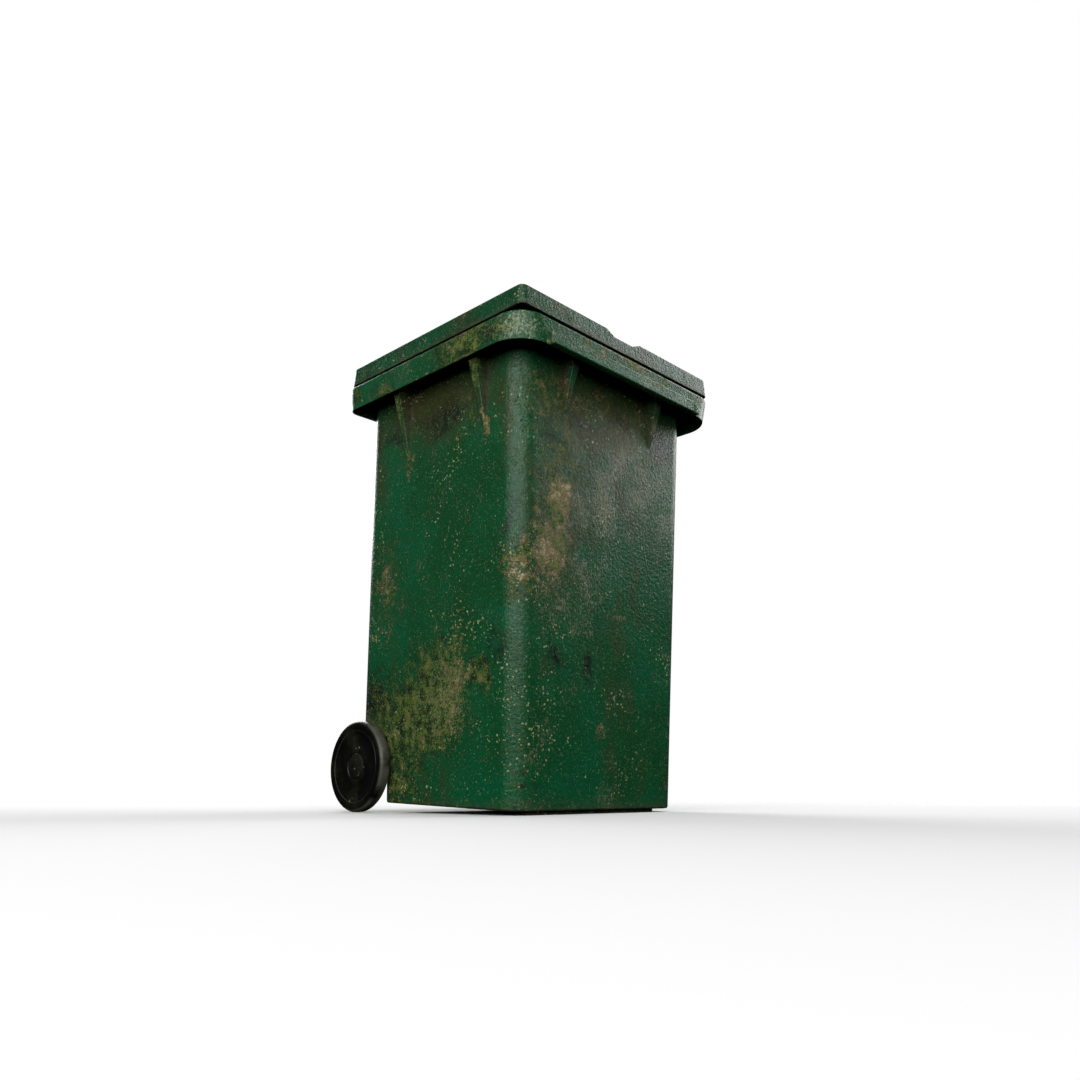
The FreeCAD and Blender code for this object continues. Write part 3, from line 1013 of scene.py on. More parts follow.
@dataclass
class BinBody:
    """The moulded body: tapered walls, turned-down rim, lifting ledge, gussets, ears and axle webs."""

    rim_half: Flat = (0.353, 0.306)
    rim_middle: float = -0.0525
    rim_draft: float = 0.0025
    rim_corners: Flat = (0.084, 0.064)
    rear_corner: float = 0.026
    rim_foot: float = 0.948
    rim_top: float = 1.010
    shoulder: float = 0.008
    wall: float = 0.005
    lip: float = 0.0012
    mouth: float = 1.052
    half_width: Flat = (0.258, 0.3015)
    front: Flat = (-0.2545, -0.303)
    rear: Flat = (0.2725, 0.233)
    corner: float = 0.048
    recess_front: float = 0.152
    recess_top: float = 0.160
    recess_corner: float = 0.026
    base_front: float = 0.007
    base_slope: float = 0.0337
    ledge_x: Sequence[float] = (-0.2645, 0.2455, 0.2485, 0.2645)
    ledge_y: Flat = (-0.367, -0.3535)
    ledge_z: Flat = (0.948, 0.978)
    web_outer: Flat = (0.333, -0.328)
    web_half: Flat = (0.0125, 0.011)
    web_tip: float = 0.004
    web_low: Flat = (0.800, 0.846)
    web_spread: Flat = (0.132, 0.150)
    hinge: Flat = (0.3335, 1.030)
    handle: Flat = (0.346, 0.990)
    axle: Flat = (0.222, 0.100)
    ear_x: Sequence[Flat] = ((0.166, 0.178), (0.216, 0.226))
    ear_radius: float = 0.017
    arm_x: Flat = (0.1668, 0.1772)
    arm_radius: float = 0.021
    axle_web_x: Sequence[Flat] = ((0.236, 0.246), (0.080, 0.088))
    axle_web_radius: float = 0.024
    plate_edge: float = 0.0015
    foot_half: Flat = (0.205, 0.020)
    foot_inset: float = 0.038

    def at(self, z: float, ends: Flat) -> float:
        """Read a tapering size at a height.

        Args:
            z: The height.
            ends: The size at the ground and at the mouth.

        Returns:
            The size at that height.
        """
        return ends[0] + (ends[1] - ends[0]) * z / self.mouth

    def base_at(self, y: float) -> float:
        """Height of the sloping base at a depth."""
        return self.base_front + (y - self.front[0]) * self.base_slope

    def walls(self) -> bmesh.types.BMesh:
        """Shape the tapered walls and the base with its step for the axle.

        Returns:
            The walls with their thickness.
        """
        step_rear = self.at(self.recess_top, self.rear)
        foot_front = self.at(self.base_front, self.front)
        outline = [(foot_front, self.base_front), (self.front[1], self.mouth), (self.rear[1], self.mouth),
                   (step_rear, self.recess_top), (self.recess_front, self.recess_top),
                   (self.recess_front, self.base_at(self.recess_front))]
        bm = prism(outline, -1.0, 1.0)
        for vert in bm.verts:
            vert.co.x *= self.at(vert.co.z, self.half_width)
        inside = edges_where(bm, lambda a, b: all(
            math.isclose(end.z, self.recess_top) and end.y < self.recess_front + 0.01 for end in (a, b)))
        round_edges(bm, inside, self.recess_corner, 6)
        round_edges(bm, edges_where(bm, lambda a, b: abs(a.z - b.z) > 0.3), self.corner, 10)
        lid_side = [face for face in bm.faces if face.calc_center_median().z > self.mouth - 0.01]
        bmesh.ops.delete(bm, geom=lid_side, context="FACES_ONLY")
        round_edges(bm, sharp_edges(bm, 30), 0.005, 3)
        return thickened(bm, self.wall, self.lip)

    def rim(self) -> bmesh.types.BMesh:
        """Shape the turned-down collar round the mouth, open underneath.

        Returns:
            The collar with its thickness.
        """
        steps = 6
        span = self.rim_top - self.rim_foot
        levels = [(0.0, self.rim_draft, 0.0)]
        for index in range(steps + 1):
            angle = math.radians(90 * index / steps)
            rise = span - self.shoulder * (1 - math.sin(angle))
            levels.append((rise, self.rim_draft * (1 - rise / span), self.shoulder * (1 - math.cos(angle))))
        loops = []
        for rise, draft, inset in levels:
            share = rise / span
            front = self.rim_corners[0] + (self.rim_corners[1] - self.rim_corners[0]) * share - inset
            half = [side - draft - inset for side in self.rim_half]
            depth = (self.rim_middle - half[1], self.rim_middle + half[1])
            corners = (front, self.rear_corner - inset)
            loops.append(self.loop((-half[0], half[0]), depth, corners, self.rim_foot + rise))
        width = self.at(self.rim_top, self.half_width) - self.wall / 2
        front, rear = (self.at(self.rim_top, side) for side in (self.front, self.rear))
        depth = (front + self.wall / 2, rear - self.wall / 2)
        corner = self.corner - self.wall / 2
        loops.append(self.loop((-width, width), depth, (corner, corner), self.rim_top))
        return thickened(skinned(loops, False), self.wall, self.lip)

    def loop(self, x_range: Flat, y_range: Flat, corners: Flat, z: float) -> list[Point]:
        """Lay out a rectangle with round corners, seen from above and counter-clockwise.

        Args:
            x_range: Its left and right.
            y_range: Its front and rear.
            corners: Radius of the front and of the rear corners.
            z: Its height.

        Returns:
            Its points, always as many.
        """
        steps = 14
        points = []
        centres = ((0, 0, 180), (1, 0, 270), (1, 1, 0), (0, 1, 90))
        for right, rear, start in centres:
            radius = corners[rear]
            x = x_range[right] + (-radius if right else radius)
            y = y_range[rear] + (-radius if rear else radius)
            for index in range(steps + 1):
                angle = math.radians(start + 90 * index / steps)
                points.append((x + radius * math.cos(angle), y + radius * math.sin(angle), z))
        return points

    def ledge(self) -> list[bmesh.types.BMesh]:
        """Shape the lifting ledge and the short stop at its right end.

        Returns:
            The two bars.
        """
        left, break_start, break_end, right = self.ledge_x
        low, high = self.ledge_z
        y0, y1 = self.ledge_y
        bar = block((left, y0, low), (break_start, y1, high), 0.0035)
        stop = block((break_end, y0, low), (right, y1, high), 0.0025)
        return [bar, stop]

    def web(self, levels: Sequence[tuple[Flat, Flat, float]]) -> bmesh.types.BMesh:
        """Join rectangles at falling heights into one web.

        Args:
            levels: X range, Y range and height of each rectangle.

        Returns:
            The web with soft edges.
        """
        loops = [[(x0, y0, z), (x1, y0, z), (x1, y1, z), (x0, y1, z)] for (x0, x1), (y0, y1), z in levels]
        bm = skinned(loops, True)
        bmesh.ops.recalc_face_normals(bm, faces=bm.faces)
        round_edges(bm, sharp_edges(bm, 30), 0.002, 3)
        return bm

    def gussets(self) -> list[bmesh.types.BMesh]:
        """Shape the webs that brace the rim against the walls and taper to a tip.

        Returns:
            Four side webs and two front webs.
        """
        sunk = 0.003
        proud = 0.001
        shapes = []
        heights = (self.rim_top - self.wall / 2, self.rim_foot + self.wall)
        stations = []
        for outer, half, low, ends, way in zip(self.web_outer, self.web_half, self.web_low,
                                               (self.half_width, self.front), (1, -1)):
            tip = (low, self.at(low, ends) + way * proud, self.web_tip)
            stations.append([(z, outer, half) for z in heights] + [tip])
        for sign in (-1, 1):
            y = self.rim_middle + sign * self.web_spread[0]
            for side in Side:
                way = side.value
                shapes.append(self.web([
                    ((way * (self.at(z, self.half_width) - sunk), way * outer), (y - half, y + half), z)
                    for z, outer, half in stations[0]]))
            x = sign * self.web_spread[1]
            shapes.append(self.web([((x - half, x + half), (outer, self.at(z, self.front) + sunk), z)
                                    for z, outer, half in stations[1]]))
        return shapes

    def foot(self) -> bmesh.types.BMesh:
        """Shape the strip under the front of the base that the bin rests on.

        Returns:
            The strip.
        """
        y = self.front[0] + self.foot_inset
        bm, face = rounded_plane(*self.foot_half, y, 0.0, 0.018, 6)
        raise_face(bm, face, self.base_at(y) + 0.002)
        bmesh.ops.recalc_face_normals(bm, faces=bm.faces)
        round_edges(bm, edges_where(bm, lambda a, b: a.z < 1e-5 and b.z < 1e-5), 0.002, 2)
        return bm

    def ears(self, sign: float) -> bmesh.types.BMesh:
        """Shape one side's two hinge ears and its handle arm.

        Args:
            sign: -1 for the left, 1 for the right.

        Returns:
            The ears of that side.
        """
        root = self.rim_middle + self.rim_half[1] - self.wall
        low = self.rim_foot + 0.009
        roots = [(root, low), (root + 0.009, low), (root, self.rim_top - 0.004)]
        plates = [hulled_plate((sign * near, sign * far), self.hinge, self.ear_radius, roots, self.plate_edge)
                  for near, far in self.ear_x]
        roots = [(root, self.rim_foot + 0.030), (root, self.rim_top - 0.012),
                 (self.hinge[0], self.hinge[1] - 0.008)]
        near, far = (sign * x for x in self.arm_x)
        plates.append(hulled_plate((near, far), self.handle, self.arm_radius, roots, self.plate_edge))
        return joined(plates)

    def axle_webs(self, sign: float) -> bmesh.types.BMesh:
        """Shape one side's two axle webs.

        Args:
            sign: -1 for the left, 1 for the right.

        Returns:
            The webs of that side.
        """
        front = self.recess_front - 0.002
        roots = [(front, self.axle[1] - 0.020), (front, self.recess_top + 0.002),
                 (self.axle[0] + 0.028, self.recess_top + 0.002)]
        return joined(hulled_plate((sign * near, sign * far), self.axle, self.axle_web_radius, roots,
                                   self.plate_edge) for near, far in self.axle_web_x)

    def build(self, finish: bpy.types.Material) -> None:
        """Build the body in place of its CAD node.

        Args:
            finish: Its material.
        """
        shapes = [self.walls(), self.rim(), self.foot()] + self.ledge() + self.gussets()
        shapes += mirrored_pair(self.ears) + mirrored_pair(self.axle_webs)
        place("moulded_body", joined(shapes), "bin", Slot.BODY, finish, ["bin_body"])


@dataclass
class Lid:
    """The lid: a flat tray with a turned-down skirt, a grip channel and two hinge arms."""

    half: Flat = (0.338, 0.304)
    middle: float = -0.042
    skirt: float = 1.024
    top: float = 1.070
    flare: float = 0.002
    corner: float = 0.016
    edge: float = 0.004
    wall: float = 0.0045
    lip: float = 0.001
    notch_top: float = 0.061
    notch_floor: float = 0.033
    notch_deep: float = 0.0125
    notch_long: float = 0.150
    arm_x: Flat = (0.183, 0.213)
    hinge: Flat = (0.3335, 1.030)

    def tray(self) -> bmesh.types.BMesh:
        """Shape the lid's skirt and top with its channel.

        Returns:
            The tray with its thickness.
        """
        bm, face = rounded_plane(*self.half, self.middle, self.skirt, self.corner, 8)
        top = raise_face(bm, face, self.top - self.edge - self.skirt)
        shrink = [(half - self.flare) / half for half in self.half]
        space = Matrix.Translation((0, -self.middle, 0))
        bmesh.ops.scale(bm, verts=list(top.verts), vec=(*shrink, 1), space=space)
        round_over(bm, top, self.edge, 4)
        front = self.middle - self.half[1]
        back = front + self.notch_long
        sides = (-self.notch_top, -self.notch_floor, self.notch_floor, self.notch_top)
        cuts = [((x, 0, 0), (1, 0, 0)) for x in sides]
        cuts += [((0, y, 0), (0, 1, 0)) for y in (back, back + 0.006)]
        for spot, normal in cuts:
            bmesh.ops.bisect_plane(bm, geom=list(bm.verts) + list(bm.edges) + list(bm.faces), dist=1e-6,
                                   plane_co=spot, plane_no=normal)
        for vert in bm.verts:
            place_on_top = vert.co.z > self.top - self.edge - 1e-4
            if place_on_top and abs(vert.co.x) < self.notch_floor + 1e-4 and vert.co.y < back + 1e-4:
                share = (vert.co.y - front) / self.notch_long
                vert.co.z -= self.notch_deep * (1 - 0.6 * max(share, 0.0))
        under = [item for item in bm.faces if item.calc_center_median().z < self.skirt + 1e-4]
        bmesh.ops.delete(bm, geom=under, context="FACES_ONLY")
        return thickened(bm, self.wall, self.lip)

    def arm(self, sign: float) -> bmesh.types.BMesh:
        """Shape one hinge arm.

        Args:
            sign: -1 for the left, 1 for the right.

        Returns:
            The arm.
        """
        rear = self.middle + self.half[1] - self.wall
        roots = [(rear, self.skirt + 0.006), (rear - 0.004, self.top - 0.013)]
        return hulled_plate((sign * self.arm_x[0], sign * self.arm_x[1]), self.hinge, 0.015, roots, 0.002)

    def build(self, finish: bpy.types.Material) -> None:
        """Build the lid in place of its CAD node.

        Args:
            finish: Its material.
        """
        place("lid_tray", joined([self.tray()] + mirrored_pair(self.arm)), "lid", Slot.LID, finish, ["lid"])


@dataclass
class Wheel:
    """A solid rubber tyre on a plastic hub, with its cap."""

    side: Side
    centre: Flat = (0.222, 0.100)
    radius: float = 0.100
    x_range: Flat = (0.270, 0.298)
    bore: float = 0.078
    shoulder: float = 0.009
    ribs: int = 8
    boss_start: float = 0.2616
    boss_radius: float = 0.025
    bush_end: float = 0.2790
    bush_radius: float = 0.0142
    cap_seat: float = 0.0212
    cap_start: float = 0.2842

    def swept(self, profile: Sequence[Flat], closed: bool) -> bmesh.types.BMesh:
        """Turn a profile on this wheel's side.

        Args:
            profile: (distance from the middle plane, radius) points.
            closed: Whether the profile is a loop.

        Returns:
            The turned shape.
        """
        return turned([(x * self.side.value, radius) for x, radius in profile], self.centre, 72, closed)

    def tyre(self) -> bmesh.types.BMesh:
        """Shape the tyre with rounded shoulders.

        Returns:
            The tyre.
        """
        inner, outer = self.x_range
        profile = [(inner + 0.001, self.bore)]
        for x, sign, start in ((inner, 1, 180), (outer, -1, 90)):
            centre = x + sign * self.shoulder
            for turn in range(0, 91, 15):
                angle = math.radians(start - turn)
                profile.append((centre + self.shoulder * math.cos(angle),
                                self.radius - self.shoulder + self.shoulder * math.sin(angle)))
        profile += [(outer, self.bore + 0.004), (outer - 0.0015, self.bore + 0.0005),
                    (outer - 0.003, self.bore)]
        return self.swept(profile, True)

    def hub(self) -> bmesh.types.BMesh:
        """Shape the hub: outer disc with raised rings, tyre band, boss and ribs.

        Returns:
            The hub.
        """
        inner, outer = self.x_range
        edge = self.bore - 0.0002
        back = outer - 0.007
        face = outer - 0.002
        sunk = outer - 0.0035
        rest = outer - 0.005
        band = inner + 0.003
        seat = self.cap_seat
        disc = [(back, seat), (back, edge - 0.006), (band, edge - 0.006), (band, edge), (outer - 0.003, edge),
                (face, edge - 0.001), (face, edge - 0.007), (sunk, edge - 0.009), (sunk, 0.046), (face, 0.044),
                (face, 0.032), (sunk, 0.030), (rest, 0.0285), (rest, seat)]
        boss = [(self.boss_start, self.bush_radius), (self.boss_start, self.boss_radius - 0.001),
                (self.boss_start + 0.001, self.boss_radius), (outer - 0.006, self.boss_radius),
                (outer - 0.006, seat), (self.bush_end, seat), (self.bush_end, self.bush_radius)]
        shapes = [self.swept(disc, True), self.swept(boss, True)]
        y, z = self.centre
        for index in range(self.ribs):
            sign = self.side.value
            ends = sorted((sign * (inner + 0.005), sign * (outer - 0.0065)))
            rib = block((ends[0], y - 0.002, z + 0.024), (ends[1], y + 0.002, z + edge - 0.005), 0.0006)
            turn = Matrix.Rotation(math.tau * index / self.ribs, 3, "X")
            bmesh.ops.rotate(rib, verts=rib.verts, cent=(0, y, z), matrix=turn)
            shapes.append(rib)
        return joined(shapes)

    def cap(self) -> bmesh.types.BMesh:
        """Shape the domed cap over the axle's end.

        Returns:
            The cap.
        """
        outer = self.x_range[1]
        flange = outer - 0.0049
        top = outer - 0.0015
        under = outer - 0.0045
        profile = [(self.cap_start, 0.0182), (self.cap_start, 0.0208), (flange, 0.0208), (flange, 0.0278),
                   (outer - 0.0030, 0.0278), (outer - 0.0018, 0.0262), (top, 0.020), (top, 0.0),
                   (under, 0.0), (under, 0.0182)]
        return self.swept(profile, False)

    def build(self, tyre: bpy.types.Material, hub: bpy.types.Material, cap: bpy.types.Material) -> None:
        """Build the wheel's three visible pieces.

        Args:
            tyre: Finish of the tyre.
            hub: Finish of the hub.
            cap: Finish of the cap.
        """
        word = self.side.word
        body = f"wheel_{word}"
        place(f"solid_tyre_{word}", self.tyre(), body, Slot.TYRE, tyre, [f"tyre_{word}"])
        place(f"wheel_centre_{word}", self.hub(), body, Slot.HUB, hub, [f"wheel_hub_{word}"])
        place(f"axle_cap_{word}", self.cap(), body, Slot.HUB, cap, [f"hub_cap_{word}"])


@dataclass
class Handle:
    """The push bar across the rear with its end plugs."""

    centre: Flat = (0.346, 0.990)
    half: float = 0.178
    radius: float = 0.015
    grip: float = 0.120
    rings: int = 24
    wall: float = 0.0035

    def bar(self) -> bmesh.types.BMesh:
        """Shape the bar with shallow finger rings along its grip.

        Returns:
            The bar.
        """
        half = self.half - 0.0002
        slim = self.radius - 0.0008
        width = 2 * self.grip / self.rings
        profile = [(-half, self.radius)]
        for index in range(self.rings):
            start = -self.grip + width * index
            end = start + width * 0.35
            profile += [(start + 0.0004, self.radius), (start + 0.0016, slim), (end, slim),
                        (end + 0.0012, self.radius)]
        inside = self.radius - self.wall
        profile += [(half, self.radius), (half, inside), (-half, inside)]
        return turned(profile, self.centre, 40, True)

    def plug(self, sign: float) -> bmesh.types.BMesh:
        """Shape one end plug.

        Args:
            sign: -1 for the left, 1 for the right.

        Returns:
            The plug.
        """
        end = self.half
        rest = end + 0.0001
        tip = end + 0.0030
        profile = [(end - 0.022, 0.0), (end - 0.022, 0.0100), (end - 0.020, 0.0114), (rest, 0.0114),
                   (rest, 0.0180), (end + 0.0018, 0.0180), (tip, 0.0165), (tip, 0.0)]
        return turned([(x * sign, radius) for x, radius in profile], self.centre, 40, False)

    def build(self, bar: bpy.types.Material, plug: bpy.types.Material) -> None:
        """Build the bar and its plugs.

        Args:
            bar: Finish of the bar.
            plug: Finish of the plugs.
        """
        place("push_bar", self.bar(), "bin", Slot.HANDLE, bar, ["handle_bar"])
        for side in Side:
            place(f"bar_plug_{side.word}", self.plug(float(side.value)), "bin", Slot.PIN, plug,
                  [f"handle_plug_{side.word}"])


@dataclass
class HingePins:
    """The two pins that the lid turns on."""

    centre: Flat = (0.3335, 1.030)
    inner_end: float = 0.158
    head_start: float = 0.2261
    head_end: float = 0.231
    radius: float = 0.006

    def pin(self, sign: float) -> bmesh.types.BMesh:
        """Shape one pin with a domed head and a clip groove.

        Args:
            sign: -1 for the left, 1 for the right.

        Returns:
            The pin.
        """
        start, head, tip, radius = self.inner_end, self.head_start, self.head_end, self.radius
        groove = (start + 0.004, start + 0.006)
        slim = radius - 0.0012
        profile = [(start, 0.0), (start, radius - 0.001), (start + 0.001, radius), (groove[0], radius),
                   (groove[0], slim), (groove[1], slim), (groove[1], radius), (head, radius), (head, 0.0100),
                   (head + 0.0022, 0.0098), (tip - 0.001, 0.0082), (tip, 0.0055), (tip, 0.0)]
        return turned([(x * sign, radius) for x, radius in profile], self.centre, 32, False)

    def build(self, finish: bpy.types.Material) -> None:
        """Build both pins.

        Args:
            finish: Their material.
        """
        for side in Side:
            place(f"lid_pin_{side.word}", self.pin(float(side.value)), "bin", Slot.PIN, finish,
                  [f"hinge_pin_{side.word}"])


@dataclass
class CarriedNodes:
    """The frame's own small pieces, which keep their shape and get a finish."""

    nodes: dict[str, bpy.types.Object]

    def dress(self, stems: Sequence[str], finish: bpy.types.Material) -> None:
        """Give the same finish to every node with one of the names, left and right alike.

        Args:
            stems: Node names without their side.
            finish: The material.
        """
        words = [side.word for side in Side]
        for name, node in self.nodes.items():
            stem, _, word = name.rpartition("_")
            if name in stems or (word in words and stem in stems):
                node.data.materials.clear()
                node.data.materials.append(finish)
                LOG.info("%s keeps its shape", name)


# ---------------------------------------------------------------- floor, light and camera


@dataclass
class Stage:
    """The pale floor that the bin stands on."""

    middle: Flat = (-3.18, -3.14)
    radius: float = 6.0
    tone: Colour = paint(254, 254, 254)

    def build(self) -> None:
        """Build the floor."""
        bench, shader = new_material("pale_floor", self.tone)
        point = object_point(bench)
        cloud = bench.noise(point, 1.2, 2.0)
        tone = bench.mix(cloud, self.tone, paint(253, 253, 253))
        bench.tree.links.new(tone, shader.inputs["Base Color"])
        shader.inputs["Roughness"].default_value = 0.9
        shader.inputs["Specular IOR Level"].default_value = 0.0
        bm = bmesh.new()
        bmesh.ops.create_circle(bm, cap_ends=True, segments=128, radius=self.radius,
                                matrix=Matrix.Translation((*self.middle, 0.0)))
        mesh = bpy.data.meshes.new("floor")
        bm.to_mesh(mesh)
        bm.free()
        mesh.materials.append(bpy.data.materials["pale_floor"])
        floor = bpy.data.objects.new("floor", mesh)
        floor.visible_diffuse = False
        floor.visible_glossy = False
        bpy.context.scene.collection.objects.link(floor)


@dataclass(frozen=True)
class SoftBox:
    """One soft box: where it hangs round the bin, its size and its power."""

    name: str
    bearing: float
    height_angle: float
    distance: float
    size: Flat
    power: float

    def hang(self, target: Point) -> None:
        """Hang the soft box so that it faces a point.

        Args:
            target: The point.
        """
        light = bpy.data.lights.new(self.name, "AREA")
        light.shape = "RECTANGLE"
        light.size, light.size_y = self.size
        light.energy = self.power
        turn, lift = math.radians(self.bearing), math.radians(self.height_angle)
        away = Vector((math.cos(turn) * math.cos(lift), math.sin(turn) * math.cos(lift), math.sin(lift)))
        lamp = bpy.data.objects.new(self.name, light)
        lamp.location = Vector(target) + away * self.distance
        lamp.rotation_euler = away.to_track_quat("Z", "Y").to_euler()
        bpy.context.scene.collection.objects.link(lamp)


@dataclass
class StudioLight:
    """A soft dome and three large soft boxes."""

    dome: float = 0.25
    reflected: float = 0.06
    target: Point = (0.0, 0.0, 0.5)
    boxes: Sequence[SoftBox] = (
        SoftBox("key_left", 216.0, 21.0, 4.2, (7.0, 3.6), 164.0),
        SoftBox("fill_right", -14.0, 33.0, 4.2, (2.4, 2.6), 66.0),
        SoftBox("rear", 74.0, 30.0, 4.2, (2.6, 2.2), 104.0))

    def world(self) -> None:
        """Build the dome: white behind the object, bright above and dark below for everything else."""
        world = bpy.data.worlds.new("studio")
        bpy.context.scene.world = world
        world.use_nodes = True
        tree = world.node_tree
        tree.nodes.clear()
        bench = Bench(tree)
        direction = bench.add("ShaderNodeTexCoord", {}).outputs["Generated"]
        _, _, up = bench.parts(direction)
        above = bench.ease(up, -0.10, 0.25)
        path = bench.add("ShaderNodeLightPath", {})
        seen = path.outputs["Is Camera Ray"]
        glossy = path.outputs["Is Glossy Ray"]
        soft = bench.add("ShaderNodeBackground", {"Strength": bench.math("MULTIPLY", above, self.dome)})
        shine = bench.add("ShaderNodeBackground", {"Strength": bench.math("MULTIPLY", above, self.reflected)})
        white = bench.add("ShaderNodeBackground", {"Strength": 1.0, "Color": (1, 1, 1, 1)})
        for node in (soft, shine):
            node.inputs["Color"].default_value = (1, 1, 1, 1)
        lit = bench.add("ShaderNodeMixShader", {0: glossy, 1: soft.outputs[0], 2: shine.outputs[0]})
        final = bench.add("ShaderNodeMixShader", {0: seen, 1: lit.outputs[0], 2: white.outputs[0]})
        bench.add("ShaderNodeOutputWorld", {"Surface": final.outputs[0]})

    def build(self) -> None:
        """Build the dome and the soft boxes."""
        self.world()
        for box in self.boxes:
            box.hang(self.target)


@dataclass
class Viewpoint:
    """The camera, low in front of the bin's left front corner and looking up at it."""

    spot: Point = (-1.5275, -1.5460, 0.0499)
    pitch: float = 15.258
    heading: float = 45.99
    lens: float = 30.42
    sensor: float = 36.0

    def build(self) -> None:
        """Build the camera and make it the scene's own."""
        data = bpy.data.cameras.new("viewpoint")
        data.lens = self.lens
        data.sensor_width = self.sensor
        data.sensor_fit = "HORIZONTAL"
        camera = bpy.data.objects.new("viewpoint", data)
        camera.location = self.spot
        camera.rotation_euler = (math.radians(90 + self.pitch), 0, math.radians(-self.heading))
        bpy.context.scene.collection.objects.link(camera)
        bpy.context.scene.camera = camera


# ---------------------------------------------------------------- putting it together


def body_plastic() -> WeatheredPlastic:
    """Describe the body's finish with the places of its growth, dirt, sooty marks, painted sheen and painted
    highlight.

    Returns:
        The finish.
    """
    return WeatheredPlastic(
        name="body_plastic_weathered", clean=paint(8, 98, 58), deep=paint(14, 83, 42), cover=0.7,
        moss=(Patch((-0.272, -0.03, 0.24), (0.06, 0.18, 0.20), 1.2),
              Patch((-0.266, 0.13, 0.15), (0.06, 0.20, 0.24), 1.2),
              Patch((-0.270, -0.17, 0.27), (0.06, 0.07, 0.06), 1.1),
              Patch((-0.330, -0.186, 0.90), (0.030, 0.06, 0.20), 2.0),
              Patch((-0.330, 0.080, 0.90), (0.030, 0.06, 0.20), 2.0),
              Patch((-0.345, -0.22, 0.98), (0.06, 0.16, 0.07), 1.3),
              Patch((-0.350, 0.12, 0.98), (0.03, 0.07, 0.05), 1.0),
              Patch((-0.350, 0.22, 0.98), (0.03, 0.05, 0.05), 0.9),
              Patch((-0.17, -0.285, 0.72), (0.16, 0.05, 0.20), 0.9),
              Patch((-0.21, -0.285, 0.88), (0.13, 0.05, 0.12), 0.9),
              Patch((-0.255, -0.262, 0.06), (0.05, 0.05, 0.07), 1.1)),
        dry=(Patch((-0.270, -0.07, 0.25), (0.06, 0.07, 0.11), 1.1),
             Patch((-0.280, 0.157, 0.50), (0.06, 0.12, 0.20), 0.8),
             Patch((-0.295, -0.190, 0.80), (0.05, 0.018, 0.07), 1.3),
             Patch((-0.295, 0.080, 0.80), (0.05, 0.018, 0.06), 1.0),
             Patch((-0.185, -0.275, 0.56), (0.11, 0.06, 0.26), 1.0),
             Patch((-0.157, -0.285, 0.65), (0.06, 0.06, 0.08), 1.0),
             Patch((-0.262, -0.262, 0.48), (0.05, 0.05, 0.10), 0.8),
             Patch((-0.10, -0.300, 0.90), (0.28, 0.05, 0.07), 0.8),
             Patch((0.00, -0.359, 0.998), (0.34, 0.03, 0.022), 1.6),
             Patch((0.05, -0.275, 0.415), (0.04, 0.05, 0.04), 1.0),
             Patch((-0.012, -0.262, 0.171), (0.03, 0.05, 0.05), 1.0)),
        dark_patches=(Patch((-0.27, 0.193, 0.245), (0.06, 0.09, 0.10), 1.3),
               Patch((-0.285, -0.246, 0.594), (0.05, 0.02, 0.07), 0.9),
               Patch((-0.272, -0.224, 0.328), (0.05, 0.04, 0.05), 0.8),
               # These four patches and the one at height 0.887 darken the walls just under the rim.
               Patch((-0.295, -0.06, 0.86), (0.05, 0.13, 0.05), 1.0),
               Patch((-0.295, 0.14, 0.87), (0.05, 0.09, 0.05), 0.9),
               Patch((-0.12, -0.300, 0.86), (0.12, 0.05, 0.05), 0.9),
               Patch((0.20, -0.300, 0.88), (0.12, 0.05, 0.06), 0.9),
               Patch((-0.20, -0.285, 0.80), (0.06, 0.05, 0.06), 0.7),
               Patch((-0.064, -0.268, 0.293), (0.03, 0.05, 0.05), 1.2),
               Patch((-0.159, -0.269, 0.322), (0.04, 0.05, 0.03), 1.2),
               Patch((0.041, -0.295, 0.887), (0.05, 0.05, 0.03), 1.0)),
        film=(Patch((-0.295, -0.02, 0.90), (0.05, 0.38, 0.14), 1.3),
              Patch((0.0, -0.295, 0.88), (0.36, 0.05, 0.17), 1.3),
              Patch((-0.14, -0.285, 0.62), (0.20, 0.05, 0.34), 1.0),
              Patch((0.10, -0.285, 0.70), (0.22, 0.05, 0.18), 0.7)),
        # Where the front wall gets pale upright strokes, partly bloom and partly painted sheen.
        bloom_and_sheen_strokes=(Patch((0.02, -0.290, 0.78), (0.36, 0.06, 0.30), 1.2),
                 Patch((-0.10, -0.275, 0.50), (0.22, 0.06, 0.25), 0.8)),
        # Painted highlight: the first patch, on the rim's near front corner, is partly pale growth and partly
        # stands in for light on the rounded corner.
        pale_growth_patches_and_highlight=(Patch((-0.335, -0.32, 0.98), (0.08, 0.12, 0.07), 1.3),
                 Patch((-0.270, -0.05, 0.24), (0.06, 0.12, 0.12), 0.6),
                 Patch((0.00, -0.359, 0.995), (0.30, 0.03, 0.020), 0.7),
                 Patch((-0.2645, -0.365, 0.963), (0.02, 0.03, 0.03), 1.4)))


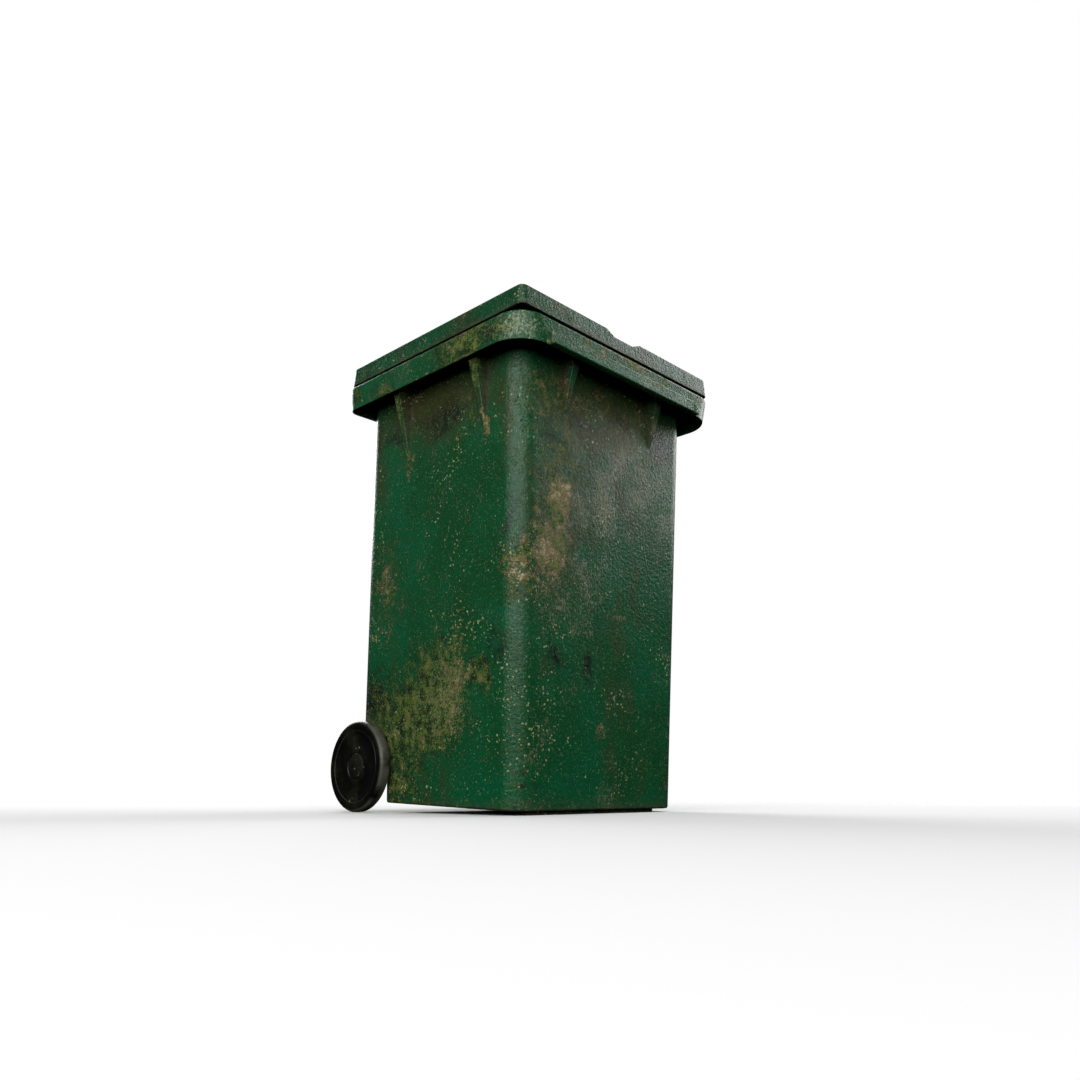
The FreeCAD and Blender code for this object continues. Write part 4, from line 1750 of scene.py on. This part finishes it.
def lid_plastic() -> WeatheredPlastic:
    """Describe the lid's finish.

    Returns:
        The finish.
    """
    return WeatheredPlastic(
        name="lid_plastic_weathered", clean=paint(10, 92, 56), deep=paint(16, 74, 40), cover=0.7,
        band=(1.016, 1.036),
        moss=(Patch((-0.335, 0.19, 1.04), (0.03, 0.10, 0.03), 0.7),
              Patch((-0.20, -0.34, 1.04), (0.06, 0.03, 0.03), 0.7)),
        dry=(Patch((-0.335, 0.02, 1.035), (0.03, 0.05, 0.02), 0.7),),
        dark_patches=(Patch((0.0, -0.345, 1.04), (0.34, 0.04, 0.03), 0.6),),
        film=(Patch((0.1, -0.34, 1.05), (0.30, 0.05, 0.04), 0.6),))


def main() -> None:
    """Build every piece, dress the frame's own nodes and set up the stage."""
    logging.basicConfig(level=logging.INFO, format="%(name)s %(message)s")
    bpy.context.scene.view_settings.view_transform = "Standard"
    fine = 0.0003
    # The tyre's pale worn colour is partly rubbed rubber and dust, partly a painted highlight on its tread.
    rubber = BlackRubberOrPlastic("tyre_rubber_dusty", paint(6, 6, 4), paint(112, 112, 100), 0.32, bump=fine,
                                  dust_and_highlight_from=0.092).material()
    black = BlackRubberOrPlastic("hub_plastic_dusty", paint(5, 5, 4), paint(20, 20, 17), 0.36,
                                 bump=fine).material()
    grey = BlackRubberOrPlastic("pin_plastic_black", paint(13, 13, 10), paint(36, 36, 32), 0.40, bump=fine,
                                dirt=0.4).material()
    bush = BlackRubberOrPlastic("bush_plastic_pale", paint(150, 148, 138), paint(176, 174, 166), 0.45,
                                film=paint(96, 88, 66), speck=paint(110, 96, 66)).material()
    stop = BlackRubberOrPlastic("buffer_rubber_dull", paint(30, 30, 30), paint(66, 66, 62), 0.7).material()
    steel = ZincSteel("axle_steel_zinc").material()
    spring = ZincSteel("clip_steel_zinc", rusty=0.2).material()
    bar = WeatheredPlastic(name="handle_plastic_worn", clean=paint(14, 84, 54), deep=paint(20, 70, 42),
                           cover=0.3, gloss=0.34, bump=0.0005).material()

    BinBody().build(body_plastic().material())
    Lid().build(lid_plastic().material())
    for side in Side:
        Wheel(side).build(rubber, black, grey)
    Handle().build(bar, grey)
    HingePins().build(grey)
    carried = CarriedNodes(frame["nodes"])
    carried.dress(["lid_buffers"], stop)
    carried.dress(["hinge_clip", "axle_clip"], spring)
    carried.dress(["axle_bush", "hub_bush", "axle_spacer", "thrust_washer"], bush)
    carried.dress(["axle"], steel)
    Stage().build()
    StudioLight().build()
    Viewpoint().build()


if __name__ == "__main__":
    main()
